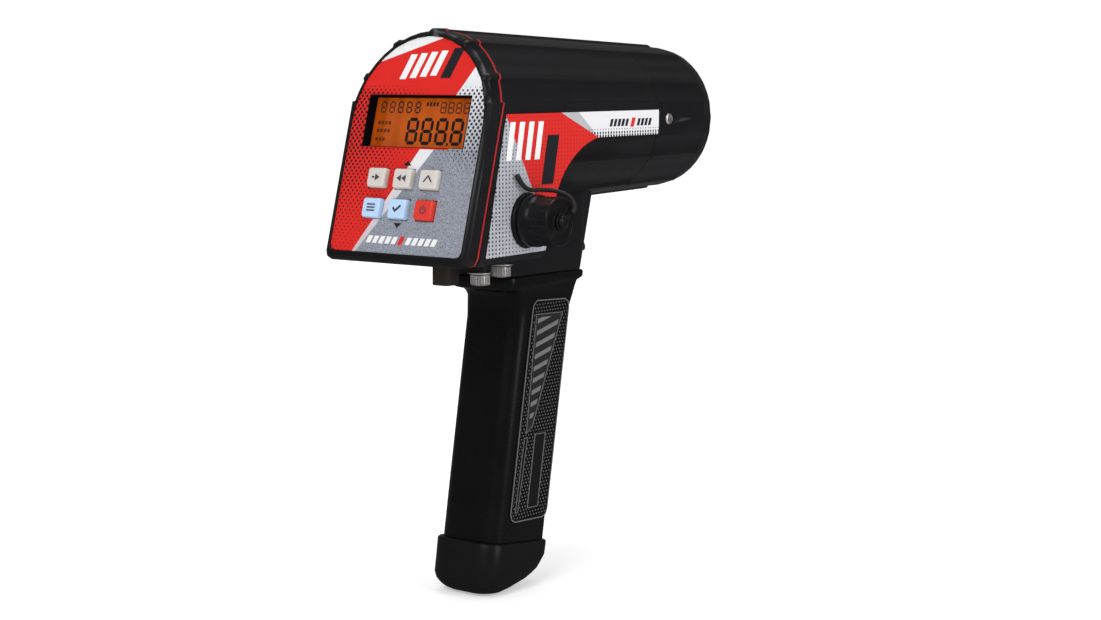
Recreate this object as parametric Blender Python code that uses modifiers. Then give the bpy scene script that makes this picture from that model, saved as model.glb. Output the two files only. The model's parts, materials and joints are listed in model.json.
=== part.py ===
"""Hand-held speed radar gun: tapered ridged barrel with a radar horn behind a radome, a box-shaped
rear body with a tilted display face, a raked battery handle, a finger trigger, six keys and a capped
side connector.

Lengths are millimetres and every mesh is scaled to metres as it is made. +Z is up, +Y is where the
horn points and +X is the user's right. The origin is the centre of the flat under the handle. Most
of the design is laid out about the empty barrel_axis, whose Y axis is the barrel's centreline.
"""
import bpy
import bmesh
from math import atan, cos, pi, radians, sin, tan
from mathutils import Matrix, Vector

MM = 0.001

# ---------------------------------------------------------------- driving dimensions (mm)
AXIS_HEIGHT = 241.0          # barrel centreline above the foot
FOOT_Y = 103.0               # foot centre, along the barrel from the layout datum
CLEAR = 0.3                  # gap between neighbouring pieces

RIDGE_R = 45.8               # radius over the ridges at the gasket
TAPER = 5.8 / 188.15         # radius lost for each mm forward
RIDGE_H = 1.3                # ridge height
RIDGE_PITCH = 30             # degrees between ridges
RIDGE_TOP, RIDGE_BASE = 1.6, 2.7        # half angles of a ridge, degrees
PANEL_LO, PANEL_HI = 77.35, 101.92      # flat side panel, degrees from the top
PANEL_STEP = 0.9             # degrees from the panel's edge to the barrel's base radius
PANEL_IN = 0.8               # side panel plane, in from the ridge radius
WALL = 2.5                   # barrel wall under the base radius
BOX_BOTTOM = -67.4           # underside of the rear body
BOX_CORNER = 4.0
FLOOR = 3.0                  # floor and wall thickness of the box and neck

GASKET_Y = 59.85             # gasket mid-plane on the centreline
GASKET_HALF = 1.2            # half the gasket's thickness
LEAN = 0.2744                # Y gained for each mm up: the face leans forward at the top
FACE_Y = 50.55               # label surface on the centreline

SEAM_Y = 200.0               # joint between housing and nose ring
RIDGE_END_Y, NOSE_Y = 247.0, 257.0
SPIGOT_R = 37.4              # housing spigot inside the nose ring
NOSE_SCREW_Y = 210.5
NOSE_SEAT_Y = 251.0          # ledge for the seal in the nose ring

NECK_HALF_W = 19.0
NECK_REAR_Y, NECK_BOTTOM = 100.5, -78.0
RAKE = 0.175                 # handle: Y gained for each mm up
HANDLE_HALF_W, HANDLE_HALF_D = 19.0, 22.0
HANDLE_R_REAR, HANDLE_R_FRONT = 9.0, 4.5    # corner radii of the handle's section
HANDLE_WALL = 3.2
HANDLE_MID_Y, HANDLE_MID_Z = 130.0, -92.0
JOINT_SCREWS = [(x, y) for x in (-11.0, 11.0) for y in (116.5, 146.0)]     # neck to handle

# Thumb screws under the rear body: X, Y, how much higher the boss ends
THUMB_SCREWS = ((19.0, 92.8, 3.0), (18.5, 76.8, 0.0))
THUMB_Z = -66.0              # thumb screw origin before that raise
BLOCK_AT = (0.0, 72.5)       # tripod socket block, X and Y
PIVOT_Y, PIVOT_Z = 174.5, -47.0         # trigger pin
TRIGGER_AT = (0, PIVOT_Y, PIVOT_Z)
PIN_HOLE_R = 1.5
CONNECTOR_Y, CONNECTOR_Z = 80.5, -46.9

ALONG_Y = (-pi / 2, 0, 0)    # turns local Z to +Y
SIDES = ((1, "right"), (-1, "left"))    # sign of X, name
SHARP_ANGLE = 35             # degrees, edges sharper than this are shaded sharp


def radius(y):
    """Radius over the ridges."""
    return RIDGE_R - TAPER * (y - GASKET_Y)


def panel_half(y):
    """Distance from the centreline to the flat side panels."""
    return radius(y) - PANEL_IN


# ---------------------------------------------------------------- scene
for old in list(bpy.data.objects):
    bpy.data.objects.remove(old, do_unlink=True)

gun = bpy.data.collections.new("speed_radar_gun")
cutters = bpy.data.collections.new("cutters")
bpy.context.scene.collection.children.link(gun)
bpy.context.scene.collection.children.link(cutters)

# ---------------------------------------------------------------- materials
# name: (base colour, roughness, metallic)
MATERIAL_TABLE = {
    "housing_black": ((0.018, 0.018, 0.020), 0.45, 0),
    "nose_black": ((0.018, 0.018, 0.020), 0.42, 0),
    "radome_black": ((0.03, 0.03, 0.032), 0.5, 0),
    "seal_rubber": ((0.02, 0.02, 0.02), 0.8, 0),
    "gasket_red": ((0.62, 0.03, 0.03), 0.5, 0),
    "bezel_black": ((0.012, 0.012, 0.014), 0.38, 0),
    "label_film": ((0.75, 0.05, 0.03), 0.35, 0),
    "window_clear": ((0.9, 0.5, 0.15), 0.05, 0),
    "lcd_backlit": ((0.85, 0.33, 0.04), 0.3, 0),
    "circuit_board": ((0.03, 0.2, 0.08), 0.5, 0),
    "key_warm_grey": ((0.62, 0.57, 0.53), 0.5, 0),
    "key_pale_blue": ((0.5, 0.66, 0.86), 0.5, 0),
    "key_red": ((0.7, 0.06, 0.04), 0.5, 0),
    "keypad_rubber": ((0.1, 0.1, 0.1), 0.8, 0),
    "horn_aluminium": ((0.75, 0.76, 0.78), 0.3, 1),
    "module_plated": ((0.6, 0.55, 0.4), 0.35, 1),
    "steel_bright": ((0.72, 0.72, 0.72), 0.25, 1),
    "steel_black_oxide": ((0.09, 0.08, 0.07), 0.4, 1),
    "connector_black": ((0.015, 0.015, 0.016), 0.4, 0.6),
    "connector_insert": ((0.05, 0.05, 0.05), 0.6, 0),
    "cap_black": ((0.02, 0.02, 0.022), 0.35, 0),
    "cord_black": ((0.02, 0.02, 0.02), 0.7, 0),
    "handle_black": ((0.012, 0.012, 0.013), 0.4, 0),
    "grip_rubber": ((0.035, 0.035, 0.037), 0.75, 0),
    "boot_rubber": ((0.015, 0.015, 0.016), 0.5, 0),
    "cell_wrap": ((0.1, 0.25, 0.5), 0.4, 0),
    "contact_brass": ((0.75, 0.6, 0.3), 0.3, 1),
    "trigger_black": ((0.02, 0.02, 0.02), 0.4, 0),
    "switch_body": ((0.1, 0.1, 0.1), 0.5, 0),
}


def material(name, colour, roughness, metallic):
    made = bpy.data.materials.new(name)
    made.use_nodes = True
    made.diffuse_color = (*colour, 1)
    inputs = made.node_tree.nodes["Principled BSDF"].inputs
    inputs["Base Color"].default_value = (*colour, 1)
    inputs["Roughness"].default_value = roughness
    inputs["Metallic"].default_value = metallic
    return made


MATERIALS = {name: material(name, *values) for name, values in MATERIAL_TABLE.items()}


# ---------------------------------------------------------------- frames
def place(thing, parent, loc, rot):
    thing.parent = parent
    thing.location = [c * MM for c in loc]
    thing.rotation_euler = rot


def frame(name, parent, loc, rot=(0, 0, 0)):
    made = bpy.data.objects.new(name, None)
    gun.objects.link(made)
    made.empty_display_size = 0.02
    place(made, parent, loc, rot)
    return made


barrel_axis = frame("barrel_axis", None, (0, -FOOT_Y, AXIS_HEIGHT))
# Z out of the face, Y up the face
display_face = frame("display_face", barrel_axis, (0, FACE_Y, 0), (pi / 2 - atan(LEAN), 0, 0))
# Z out of the right wall, X down, Y forward
connector_axis = frame("connector_axis", barrel_axis,
                       (panel_half(CONNECTOR_Y), CONNECTOR_Y, CONNECTOR_Z),
                       (0, pi / 2, atan(TAPER)))
# Z up the handle
handle_axis = frame("handle_axis", barrel_axis, (0, HANDLE_MID_Y, HANDLE_MID_Z),
                    (-atan(RAKE), 0, 0))


# ---------------------------------------------------------------- making objects
def make(name, shape, mat=None, parent=barrel_axis, loc=(0, 0, 0), rot=(0, 0, 0)):
    """Turns a bmesh laid out in mm about loc into an object in metres.

    Without a material it becomes a hidden cutter for booleans.
    """
    bmesh.ops.scale(shape, vec=(MM, MM, MM), verts=shape.verts)
    if shape.faces:
        bmesh.ops.recalc_face_normals(shape, faces=shape.faces)
    data = bpy.data.meshes.new(name)
    shape.to_mesh(data)
    shape.free()
    made = bpy.data.objects.new(name, data)
    place(made, parent, loc, rot)
    if mat is None:
        cutters.objects.link(made)
        made.hide_render = True
        made.display_type = "WIRE"
    else:
        gun.objects.link(made)
        data.materials.append(MATERIALS[mat])
        data.shade_smooth()
        data.set_sharp_from_angle(angle=radians(SHARP_ANGLE))
    return made


def boolean(target, tool, operation):
    modifier = target.modifiers.new(tool.name, "BOOLEAN")
    modifier.operation = operation
    modifier.solver = "EXACT"
    modifier.object = tool


def subtract(target, tool):
    boolean(target, tool, "DIFFERENCE")


def unite(target, tool):
    boolean(target, tool, "UNION")


def box(low, high, shape=None):
    """A box between two corners, in a new bmesh or added to shape."""
    shape = bmesh.new() if shape is None else shape
    low, high = Vector(low), Vector(high)
    for v in bmesh.ops.create_cube(shape, size=1)["verts"]:
        v.co = Vector([(low[i] + high[i]) / 2 + v.co[i] * (high[i] - low[i]) for i in range(3)])
    return shape


def rod(start, end, rod_r, sides=24, shape=None):
    """A cylinder from start to end, in a new bmesh or added to shape."""
    shape = bmesh.new() if shape is None else shape
    start, end = Vector(start), Vector(end)
    along = end - start
    turn = along.to_track_quat("Z", "Y").to_matrix().to_4x4()
    bmesh.ops.create_cone(shape, cap_ends=True, segments=sides, radius1=rod_r, radius2=rod_r,
                          depth=along.length, matrix=Matrix.Translation((start + end) / 2) @ turn)
    return shape


def slabs(outline, *spans):
    """A Y, Z outline made solid along X, once for each span.

    A span is a half width, a pair of X values, or a function of Y that gives either.
    """
    shape = bmesh.new()

    def ends(span, y):
        if callable(span):
            span = span(y)
        return span if isinstance(span, tuple) else (-span, span)

    count = len(outline)
    for span in spans:
        near = [shape.verts.new((ends(span, y)[0], y, z)) for y, z in outline]
        far = [shape.verts.new((ends(span, y)[1], y, z)) for y, z in outline]
        shape.faces.new(near)
        shape.faces.new(list(reversed(far)))
        for i in range(count):
            j = (i + 1) % count
            shape.faces.new((near[j], near[i], far[i], far[j]))
    return shape


def loft(rings, loop=False):
    """Skins closed rings of equal count; capped at both ends, or joined last to first."""
    shape = bmesh.new()
    skins = [[shape.verts.new(point) for point in ring] for ring in rings]
    count = len(rings[0])
    pairs = list(zip(skins, skins[1:])) + ([(skins[-1], skins[0])] if loop else [])
    for one, two in pairs:
        for i in range(count):
            j = (i + 1) % count
            shape.faces.new((one[i], one[j], two[j], two[i]))
    if not loop:
        shape.faces.new(list(reversed(skins[0])))
        shape.faces.new(skins[-1])
    return shape


def bevel(shape, edges, offset, segments):
    bmesh.ops.bevel(shape, geom=edges, offset=offset, segments=segments, profile=0.5,
                    affect="EDGES")


def upright_edges(shape):
    return [e for e in shape.edges if abs(e.verts[0].co.z - e.verts[1].co.z) > 0.01]


def turned(name, profile, mat=None, steps=48, parent=barrel_axis, loc=(0, 0, 0), rot=(0, 0, 0),
           ring=False):
    """(radius, height) pairs turned about local Z by a Screw modifier. A ring is a closed profile
    that never meets the axis."""
    points = list(profile)
    following = points[1:] + points[:1]
    if sum(r0 * z1 - r1 * z0 for (r0, z0), (r1, z1) in zip(points, following)) > 0:
        points.reverse()        # one winding for every profile
    shape = bmesh.new()
    verts = [shape.verts.new((r, 0, z)) for r, z in points]
    for one, two in zip(verts, verts[1:]):
        shape.edges.new((one, two))
    if ring:
        shape.edges.new((verts[-1], verts[0]))
    made = make(name, shape, mat, parent, loc, rot)
    modifier = made.modifiers.new("turn", "SCREW")
    modifier.axis = "Z"
    modifier.steps = modifier.render_steps = steps
    modifier.angle = 2 * pi
    modifier.use_merge_vertices = True
    modifier.merge_threshold = 0.00001
    modifier.use_smooth_shade = False
    return made


def cord(name, points, cord_r, mat, parent):
    """A round cord as a swept ring of eight points about a poly line."""
    curve = bpy.data.curves.new(name, "CURVE")
    curve.dimensions = "3D"
    spline = curve.splines.new("POLY")
    spline.points.add(len(points) - 1)
    for spot, point in zip(spline.points, points):
        spot.co = (*[c * MM for c in point], 1)
    curve.bevel_depth = cord_r * MM
    curve.bevel_resolution = 2
    curve.use_fill_caps = True
    made = bpy.data.objects.new(name, curve)
    gun.objects.link(made)
    made.parent = parent
    curve.materials.append(MATERIALS[mat])


def smooth_path(points, steps):
    """Catmull-Rom through the points, with this many steps between neighbours."""
    knots = [Vector(p) for p in points]
    knots = [knots[0] * 2 - knots[1]] + knots + [knots[-1] * 2 - knots[-2]]
    path = []
    for i in range(1, len(knots) - 2):
        p0, p1, p2, p3 = knots[i - 1:i + 3]
        for k in range(steps):
            t = k / steps
            path.append(0.5 * (2 * p1 + (p2 - p0) * t + (2 * p0 - 5 * p1 + 4 * p2 - p3) * t * t
                               + (3 * p1 - p0 - 3 * p2 + p3) * t ** 3))
    path.append(knots[-2])
    return path


# ---------------------------------------------------------------- shared outlines
BASE, RIDGE, PANEL = 0, 1, 2         # level of a station round the barrel


def between(start, end, count):
    """Evenly spaced base stations strictly between two angles."""
    return [(start + (end - start) * i / (count + 1), BASE) for i in range(1, count + 1)]


def ridge(centre):
    return [(centre - RIDGE_BASE, BASE), (centre - RIDGE_TOP, RIDGE),
            (centre + RIDGE_TOP, RIDGE), (centre + RIDGE_BASE, BASE)]


def valley_and_ridge(centre):
    """The base stations before a ridge, then the ridge."""
    return (between(centre - RIDGE_PITCH + RIDGE_BASE, centre - RIDGE_BASE, 2) + ridge(centre))


def upper_ridges():
    return ridge(0)[2:] + valley_and_ridge(30) + valley_and_ridge(60)


def down_to_panel():
    edge = PANEL_LO - PANEL_STEP
    return (upper_ridges() + between(60 + RIDGE_BASE, edge, 1) + [(edge, BASE), (PANEL_LO, PANEL)])


def barrel_stations(panel):
    """(angle from the top, level) round the barrel, with or without the flat side panels."""
    if panel:
        edge = PANEL_HI + PANEL_STEP
        half = (down_to_panel() + [(90, PANEL), (PANEL_HI, PANEL), (edge, BASE)]
                + between(edge, 120 - RIDGE_BASE, 1))
    else:
        half = upper_ridges() + between(60 + RIDGE_BASE, 120 - RIDGE_BASE, 5)
    half += ridge(120) + valley_and_ridge(150) + valley_and_ridge(180)[:-2]
    return half + [(360 - angle, level) for angle, level in reversed(half)]


def barrel_ring(stations, y, outer_r, ridge_h=RIDGE_H):
    ring = []
    for angle, level in stations:
        t = radians(angle)
        r = outer_r if level == RIDGE else outer_r - ridge_h
        if level == PANEL and ridge_h > 0:
            r = max((outer_r - PANEL_IN) / abs(sin(t)), r)
        ring.append((r * sin(t), y, r * cos(t)))
    return ring


def arch(outer_r, bottom, corner, ridged=False):
    """Closed X, Z outline: arch, straight sides, flat bottom with cut corners."""
    half_w = outer_r - PANEL_IN if ridged else outer_r
    half = []
    for angle, level in down_to_panel():
        t = radians(angle)
        r = outer_r - RIDGE_H if ridged and level == BASE else outer_r
        if ridged and level == PANEL:
            r = half_w / sin(t)
        half.append((r * sin(t), r * cos(t)))
    half += [(half_w, 0.0), (half_w, -30.0), (half_w, bottom + corner),
             (half_w - corner * (1 - cos(pi / 4)), bottom + corner * (1 - sin(pi / 4))),
             (half_w - corner, bottom), (half_w * 0.35, bottom)]
    return half + [(-x, z) for x, z in reversed(half)]


def body_outline(inset=0.0):
    """Outside of the rear body, drawn in by inset."""
    return arch(RIDGE_R - inset, BOX_BOTTOM + inset, BOX_CORNER - inset * 0.5, ridged=True)


def leaning_y(y0, z):
    return y0 + LEAN * z


def leaning(outline, y0):
    """Places an X, Z outline on the leaning plane that crosses the centreline at y0."""
    return [(x, leaning_y(y0, z), z) for x, z in outline]


def rounded_section(rear, front, half_w, r_rear, r_front, height):
    """Rounded rectangle in X, Y, four points to a corner; height is Z or a function of Y."""
    corners = ((1, front - r_front, r_front), (-1, front - r_front, r_front),
               (-1, rear + r_rear, r_rear), (1, rear + r_rear, r_rear))
    ring = []
    for quarter, (side, centre_y, corner_r) in enumerate(corners):
        for i in range(4):
            t = radians(90 * quarter + 90 * i / 3)
            y = centre_y + corner_r * sin(t)
            z = height(y) if callable(height) else height
            ring.append((side * (half_w - corner_r) + corner_r * cos(t), y, z))
    return ring


# ---------------------------------------------------------------- housing
BLANK_REAR, BLANK_FRONT = 30.0, 204.0        # moulding before its ends are trimmed
BORE_REAR = 20.0                             # where the tools for the hollows start

# Front of the box, Y and Z from the bottom up to where it meets the side panel
BOX_FRONT = [
    (95.6, BOX_BOTTOM), (97.2, -62.0), (106.2, -36.6), (107.8, -32.8), (109.8, -29.4),
    (112.4, -26.0), (115.4, -22.9), (119.3, -19.6), (123.4, -16.6), (127.5, -14.0),
    (132.0, -11.8), (138.0, -9.9)]
PANEL_MEETS_Y = 145.5

# Y, Z
NECK = [(90.0, -36.0), (90.0, -63.0), (NECK_REAR_Y, -68.6), (NECK_REAR_Y, NECK_BOTTOM),
        (161.1, NECK_BOTTOM), (173.0, -33.0)]
NECK_HOLLOW = [(104.0, -30.0), (104.0, NECK_BOTTOM + FLOOR), (158.4, NECK_BOTTOM + FLOOR),
               (170.2, -30.0)]
BOX_HOLLOW = [(BORE_REAR, -4.0), (BORE_REAR, BOX_BOTTOM + FLOOR), (92.6, BOX_BOTTOM + FLOOR),
              (102.6, -36.0), (106.0, -28.0), (108.0, -4.0)]
BOX_HOLLOW_IN = 3.7                          # in from the side panel plane

EAR_ROOT_Y, EAR_TOP, EAR_R = 161.0, -37.0, 4.6
EAR_FRONT, EAR_DROP = 5.0, 5.2               # from the pivot forward and down
EAR_X = (5.4, 8.4)


def panel_edge(y, angle):
    """Height of the side panel's edge at this angle from the top."""
    return panel_half(y) / tan(radians(angle))


def panels_and_box():
    shape = slabs([(BLANK_REAR, panel_edge(BLANK_REAR, PANEL_LO)), (BLANK_REAR, BOX_BOTTOM)]
                  + BOX_FRONT + [(PANEL_MEETS_Y, panel_edge(PANEL_MEETS_Y, PANEL_HI)),
                                 (BLANK_FRONT, panel_edge(BLANK_FRONT, PANEL_HI)),
                                 (BLANK_FRONT, panel_edge(BLANK_FRONT, PANEL_LO))], panel_half)
    # every bottom edge but the rear one
    low = [e for e in shape.edges if all(abs(v.co.z - BOX_BOTTOM) < 1e-4 for v in e.verts)
           and not all(v.co.y < BLANK_REAR + 1 for v in e.verts)]
    bevel(shape, low, BOX_CORNER, 2)
    return make("form_side_panels_and_box", shape)


def neck():
    shape = slabs(NECK, NECK_HALF_W)
    # the front and rear corners on each side
    corners = [e for e in shape.edges if abs(e.verts[0].co.x - e.verts[1].co.x) < 1e-4
               and (all(v.co.y > 150 for v in e.verts)
                    or all(abs(v.co.y - NECK_REAR_Y) < 1e-3 for v in e.verts))]
    bevel(shape, corners, 2.5, 2)
    return make("form_neck", shape)


def trigger_ears():
    outline = [(EAR_ROOT_Y, EAR_TOP), (PIVOT_Y + EAR_FRONT, EAR_TOP), (PIVOT_Y + EAR_FRONT, PIVOT_Z)]
    outline += [(PIVOT_Y + EAR_R * cos(radians(a)), PIVOT_Z + EAR_R * sin(radians(a)))
                for a in (-25, -55, -90)]
    outline.append((EAR_ROOT_Y, PIVOT_Z - EAR_DROP))
    return make("form_trigger_ears", slabs(outline, EAR_X, (-EAR_X[1], -EAR_X[0])))


def screw_bosses():
    shape = bmesh.new()
    for x, y, up in THUMB_SCREWS:
        rod((x, y, up - 73.05), (x, y, -64.8), 5.4, shape=shape)
    return make("form_screw_bosses", shape)


def trim_ends(housing):
    """Cuts the rear parallel to the face, clear of the gasket, and the front square at the seam."""
    cut_y = GASKET_Y + (GASKET_HALF + CLEAR)
    rear = slabs([(-20.0, -110.0), (leaning_y(cut_y, -110), -110.0), (leaning_y(cut_y, 80), 80.0),
                  (-20.0, 80.0)], 70.0)
    subtract(housing, make("cut_rear_plane", rear))
    subtract(housing, make("cut_front_plane", box((-60, SEAM_Y, -60), (60, 240, 60))))


def hollow(housing):
    """Spigot for the nose ring, then the barrel bore and the hollows of box and neck."""
    spigot = [(0, 190), (SPIGOT_R, 190), (SPIGOT_R, 215.4), (SPIGOT_R - 0.6, 216), (0, 216)]
    unite(housing, turned("form_spigot", spigot, rot=ALONG_Y))
    bore = [(0, BORE_REAR), (radius(BORE_REAR) - RIDGE_H - WALL, BORE_REAR),
            (radius(198) - RIDGE_H - WALL, 198), (35.4, 199), (35.4, 222), (0, 222)]
    subtract(housing, turned("cut_bore", bore, rot=ALONG_Y))
    subtract(housing, make("cut_box_hollow",
                           slabs(BOX_HOLLOW, lambda y: panel_half(y) - BOX_HOLLOW_IN)))
    subtract(housing, make("cut_neck_hollow", slabs(NECK_HOLLOW, NECK_HALF_W - FLOOR)))


def add_joint_holes(shape, bottom, top):
    """Screw holes and contact opening through the joint between neck and handle."""
    for x, y in JOINT_SCREWS:
        rod((x, y, bottom), (x, y, top), 1.75, sides=16, shape=shape)
    box((-7.6, 119.6, bottom), (7.6, 138.4, top), shape)


def add_nose_screw_holes(shape):
    for side in (-1, 1):
        rod((side * 30, NOSE_SCREW_Y, 0.03), (side * 45, NOSE_SCREW_Y, 0.03), 1.8, 16, shape)


def housing_holes():
    shape = bmesh.new()
    for x, y, up in THUMB_SCREWS:
        rod((x, y, -76), (x, y, -60), 3.4, shape=shape)
    rod((*BLOCK_AT, -70), (*BLOCK_AT, -60), 3.4, shape=shape)
    add_joint_holes(shape, -80, -73)
    # slot for the trigger's tail through the neck's front wall
    box((-3.1, 154.0, -60.5), (3.1, 172.0, -48.6), shape)
    add_nose_screw_holes(shape)
    rod((-12, PIVOT_Y, PIVOT_Z), (12, PIVOT_Y, PIVOT_Z), PIN_HOLE_R, 20, shape)
    return make("cut_housing_holes", shape)


def build_housing():
    """Barrel, rear box and neck in one moulding."""
    stations = barrel_stations(False)
    housing = make("housing_shell", loft([barrel_ring(stations, y, radius(y))
                                          for y in (BLANK_REAR, BLANK_FRONT)]), "housing_black")
    for form in (panels_and_box, neck, trigger_ears, screw_bosses):
        unite(housing, form())
    trim_ends(housing)
    hollow(housing)
    subtract(housing, housing_holes())
    subtract(housing, make("cut_connector_hole", rod((0, 0, -8), (0, 0, 6), 9.4, 32),
                           parent=connector_axis))


# ---------------------------------------------------------------- nose ring, radome and seal
NOSE_BORE_R, RADOME_SEAT_R = 33.9, 35.6
SPIGOT_GAP = 0.35
RADOME_R, RADOME_LIP_R = 35.2, 32.6
DOME_Y, DOME_RISE, DOME_WALL = 256.4, 5.6, 2.2
SEAL_R, SEAL_Y = 33.75, 251.95               # centre of the seal's section
# radius, height out of the seat
NOSE_SCREW = [(0, -6.2), (1.45, -6.2), (1.45, 0), (3.2, 0), (3.2, 0.7), (2.4, 1.3), (0, 1.3)]


def build_nose_ring():
    stations = barrel_stations(True)
    nose = make("nose_ring", loft([
        barrel_ring(stations, SEAM_Y + CLEAR, radius(SEAM_Y)),
        barrel_ring(stations, RIDGE_END_Y, radius(RIDGE_END_Y)),
        barrel_ring(stations, RIDGE_END_Y + 1.8, radius(RIDGE_END_Y) - RIDGE_H + 0.1, 0),
        barrel_ring(stations, NOSE_Y - 1.2, 37.9, 0),
        barrel_ring(stations, NOSE_Y, 37.0, 0)]), "nose_black")
    socket_r = SPIGOT_R + SPIGOT_GAP
    bore = [(0, 190), (socket_r, 190), (socket_r, 217.0), (NOSE_BORE_R, 217.0),
            (NOSE_BORE_R, NOSE_SEAT_Y), (RADOME_SEAT_R, NOSE_SEAT_Y), (RADOME_SEAT_R, 262.0),
            (0, 262.0)]
    subtract(nose, turned("cut_nose_bore", bore, steps=40, rot=ALONG_Y))
    holes = bmesh.new()
    add_nose_screw_holes(holes)
    subtract(nose, make("cut_nose_screw_holes", holes))
    seats = bmesh.new()
    for side in (-1, 1):
        rod((side * (panel_half(NOSE_SCREW_Y) - 0.9), NOSE_SCREW_Y, 0),
            (side * 48, NOSE_SCREW_Y, 0), 3.6, shape=seats)
    subtract(nose, make("cut_nose_screw_seats", seats))


def build_radome():
    dome = [(RADOME_R * cos(radians(a)), DOME_Y + DOME_RISE * sin(radians(a)))
            for a in (10, 28, 46, 64, 80)]
    tip_y = DOME_Y + DOME_RISE
    profile = [(0, tip_y)] + dome[::-1]
    profile += [(RADOME_R, 256.0), (RADOME_R, 252.6), (RADOME_LIP_R, 252.6), (RADOME_LIP_R, 254.6)]
    profile += [(r * 0.92, y - DOME_WALL) for r, y in dome] + [(0, tip_y - DOME_WALL)]
    turned("radome", profile, "radome_black", steps=40, rot=ALONG_Y)
    section = [(SEAL_R + 0.65 * cos(radians(a)), SEAL_Y + 0.6 * sin(radians(a)))
               for a in range(0, 360, 60)]
    turned("radome_seal", section, "seal_rubber", steps=28, rot=ALONG_Y, ring=True)


def build_nose_screws():
    for side, tag in SIDES:
        at = {"loc": (side * (panel_half(NOSE_SCREW_Y) - 0.55), NOSE_SCREW_Y, 0),
              "rot": (0, side * pi / 2, 0)}
        screw = turned(f"nose_screw_{tag}", NOSE_SCREW, "steel_bright", steps=20, **at)
        slot = box((-0.4, -2.0, 0.7), (0.4, 2.0, 1.6))
        subtract(screw, make(f"cut_nose_screw_slot_{tag}", slot, **at))


# ---------------------------------------------------------------- display end
INSIDE = arch(42.3, BOX_BOTTOM + 3.2, 3.0)   # opening in gasket and bezel
LABEL_R, LABEL_BOTTOM = 41.8, -62.4
LCD_HALF_W, LCD_HALF_H = 32.35, 13.1
LCD_UP = 0.8                                 # window centre, up the face
KEY_PITCH, KEY_SHIFT = 16.6, -0.7            # across the face
KEY_ROWS = (-28.0, -43.0)                    # up the face
KEYPAD_UP = sum(KEY_ROWS) / 2
KEY_W, KEY_H = 11.4, 9.9

# name, column, row, material
KEYS = [("key_top_left", -1, 0, "key_warm_grey"), ("key_top_middle", 0, 0, "key_warm_grey"),
        ("key_top_right", 1, 0, "key_warm_grey"), ("key_bottom_left", -1, 1, "key_pale_blue"),
        ("key_bottom_middle", 0, 1, "key_pale_blue"), ("key_bottom_right", 1, 1, "key_red")]
# sections of a key: added width, added height, distance out of the face, corner radius
KEY_SECTIONS = [(2, 1.8, -4.9, 1.4), (2, 1.8, -4.1, 1.4), (0, 0, -4.1, 1.3), (0, 0, 0.9, 1.3),
                (-1.0, -1.0, 2.5, 1.3), (-2.2, -2.2, 2.9, 1.2)]
# name, material, centre up the face, width, height, top and bottom out of the face, corner radius
PLATES = [
    ("lcd_window", "window_clear", LCD_UP, 69.0, 30.6, -5.7, -6.5, 1.0),
    ("lcd_module", "lcd_backlit", LCD_UP, 72.0, 33.0, -6.9, -11.4, 0),
    ("display_board", "circuit_board", LCD_UP - 0.4, 72.0, 35.0, -11.8, -13.4, 0),
    ("keypad_mat", "keypad_rubber", KEYPAD_UP, 52.0, 32.0, -6.2, -7.4, 1.5),
    ("keypad_board", "circuit_board", KEYPAD_UP, 52.0, 32.0, -7.8, -9.4, 0),
]


def build_gasket():
    rear, front = GASKET_Y - GASKET_HALF, GASKET_Y + GASKET_HALF
    make("rear_gasket", loft([leaning(body_outline(), rear), leaning(body_outline(), front),
                              leaning(INSIDE, front), leaning(INSIDE, rear)], loop=True),
         "gasket_red")


def face_openings(name, bottom, top):
    """Cutter for the window and the six keys."""
    shape = box((-LCD_HALF_W, LCD_UP - LCD_HALF_H, bottom), (LCD_HALF_W, LCD_UP + LCD_HALF_H, top))
    half_w, half_h = KEY_W / 2 + CLEAR, KEY_H / 2 + CLEAR
    for up in KEY_ROWS:
        for column in (-1, 0, 1):
            x = KEY_SHIFT + column * KEY_PITCH
            box((x - half_w, up - half_h, bottom), (x + half_w, up + half_h, top), shape)
    return make(name, shape, parent=display_face)


def build_bezel():
    pocket = arch(LABEL_R + 0.3, LABEL_BOTTOM - 0.3, 3.3)
    mating_y = GASKET_Y - (GASKET_HALF + CLEAR)
    bezel = make("rear_bezel", loft([
        leaning(pocket, FACE_Y + 0.85), leaning(pocket, FACE_Y - 0.6),
        leaning(body_outline(2.6), FACE_Y - 0.6), leaning(body_outline(0.8), FACE_Y + 0.2),
        leaning(body_outline(), FACE_Y + 1.9), leaning(body_outline(), mating_y),
        leaning(INSIDE, mating_y), leaning(INSIDE, FACE_Y + 3.7)]), "bezel_black")
    well = box((-35.6, LCD_UP - 16.2, -5.4), (35.6, LCD_UP + 16.2, -3.0))
    unite(bezel, make("form_window_well", well, parent=display_face))
    subtract(bezel, face_openings("cut_bezel_openings", -9, 3))


def build_face_label():
    sheet = arch(LABEL_R, LABEL_BOTTOM, 3.0)
    label = make("face_label", loft([leaning(sheet, FACE_Y + 0.5), leaning(sheet, FACE_Y)]),
                 "label_film")
    subtract(label, face_openings("cut_label_openings", -4, 4))


def build_plates():
    for name, mat, up, width, height, top, bottom, corner in PLATES:
        shape = box((-width / 2, -height / 2, bottom), (width / 2, height / 2, top))
        if corner:
            bevel(shape, upright_edges(shape), corner, 3)
        make(name, shape, mat, display_face, loc=(0, up, 0))


def build_keys():
    for name, column, row, mat in KEYS:
        rings = []
        for more_w, more_h, out, corner in KEY_SECTIONS:
            half_w, half_h = (KEY_W + more_w) / 2, (KEY_H + more_h) / 2
            rings.append(rounded_section(-half_h, half_h, half_w, corner, corner, out))
        make(name, loft(rings), mat, display_face,
             loc=(KEY_SHIFT + column * KEY_PITCH, KEY_ROWS[row], 0))


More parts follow.
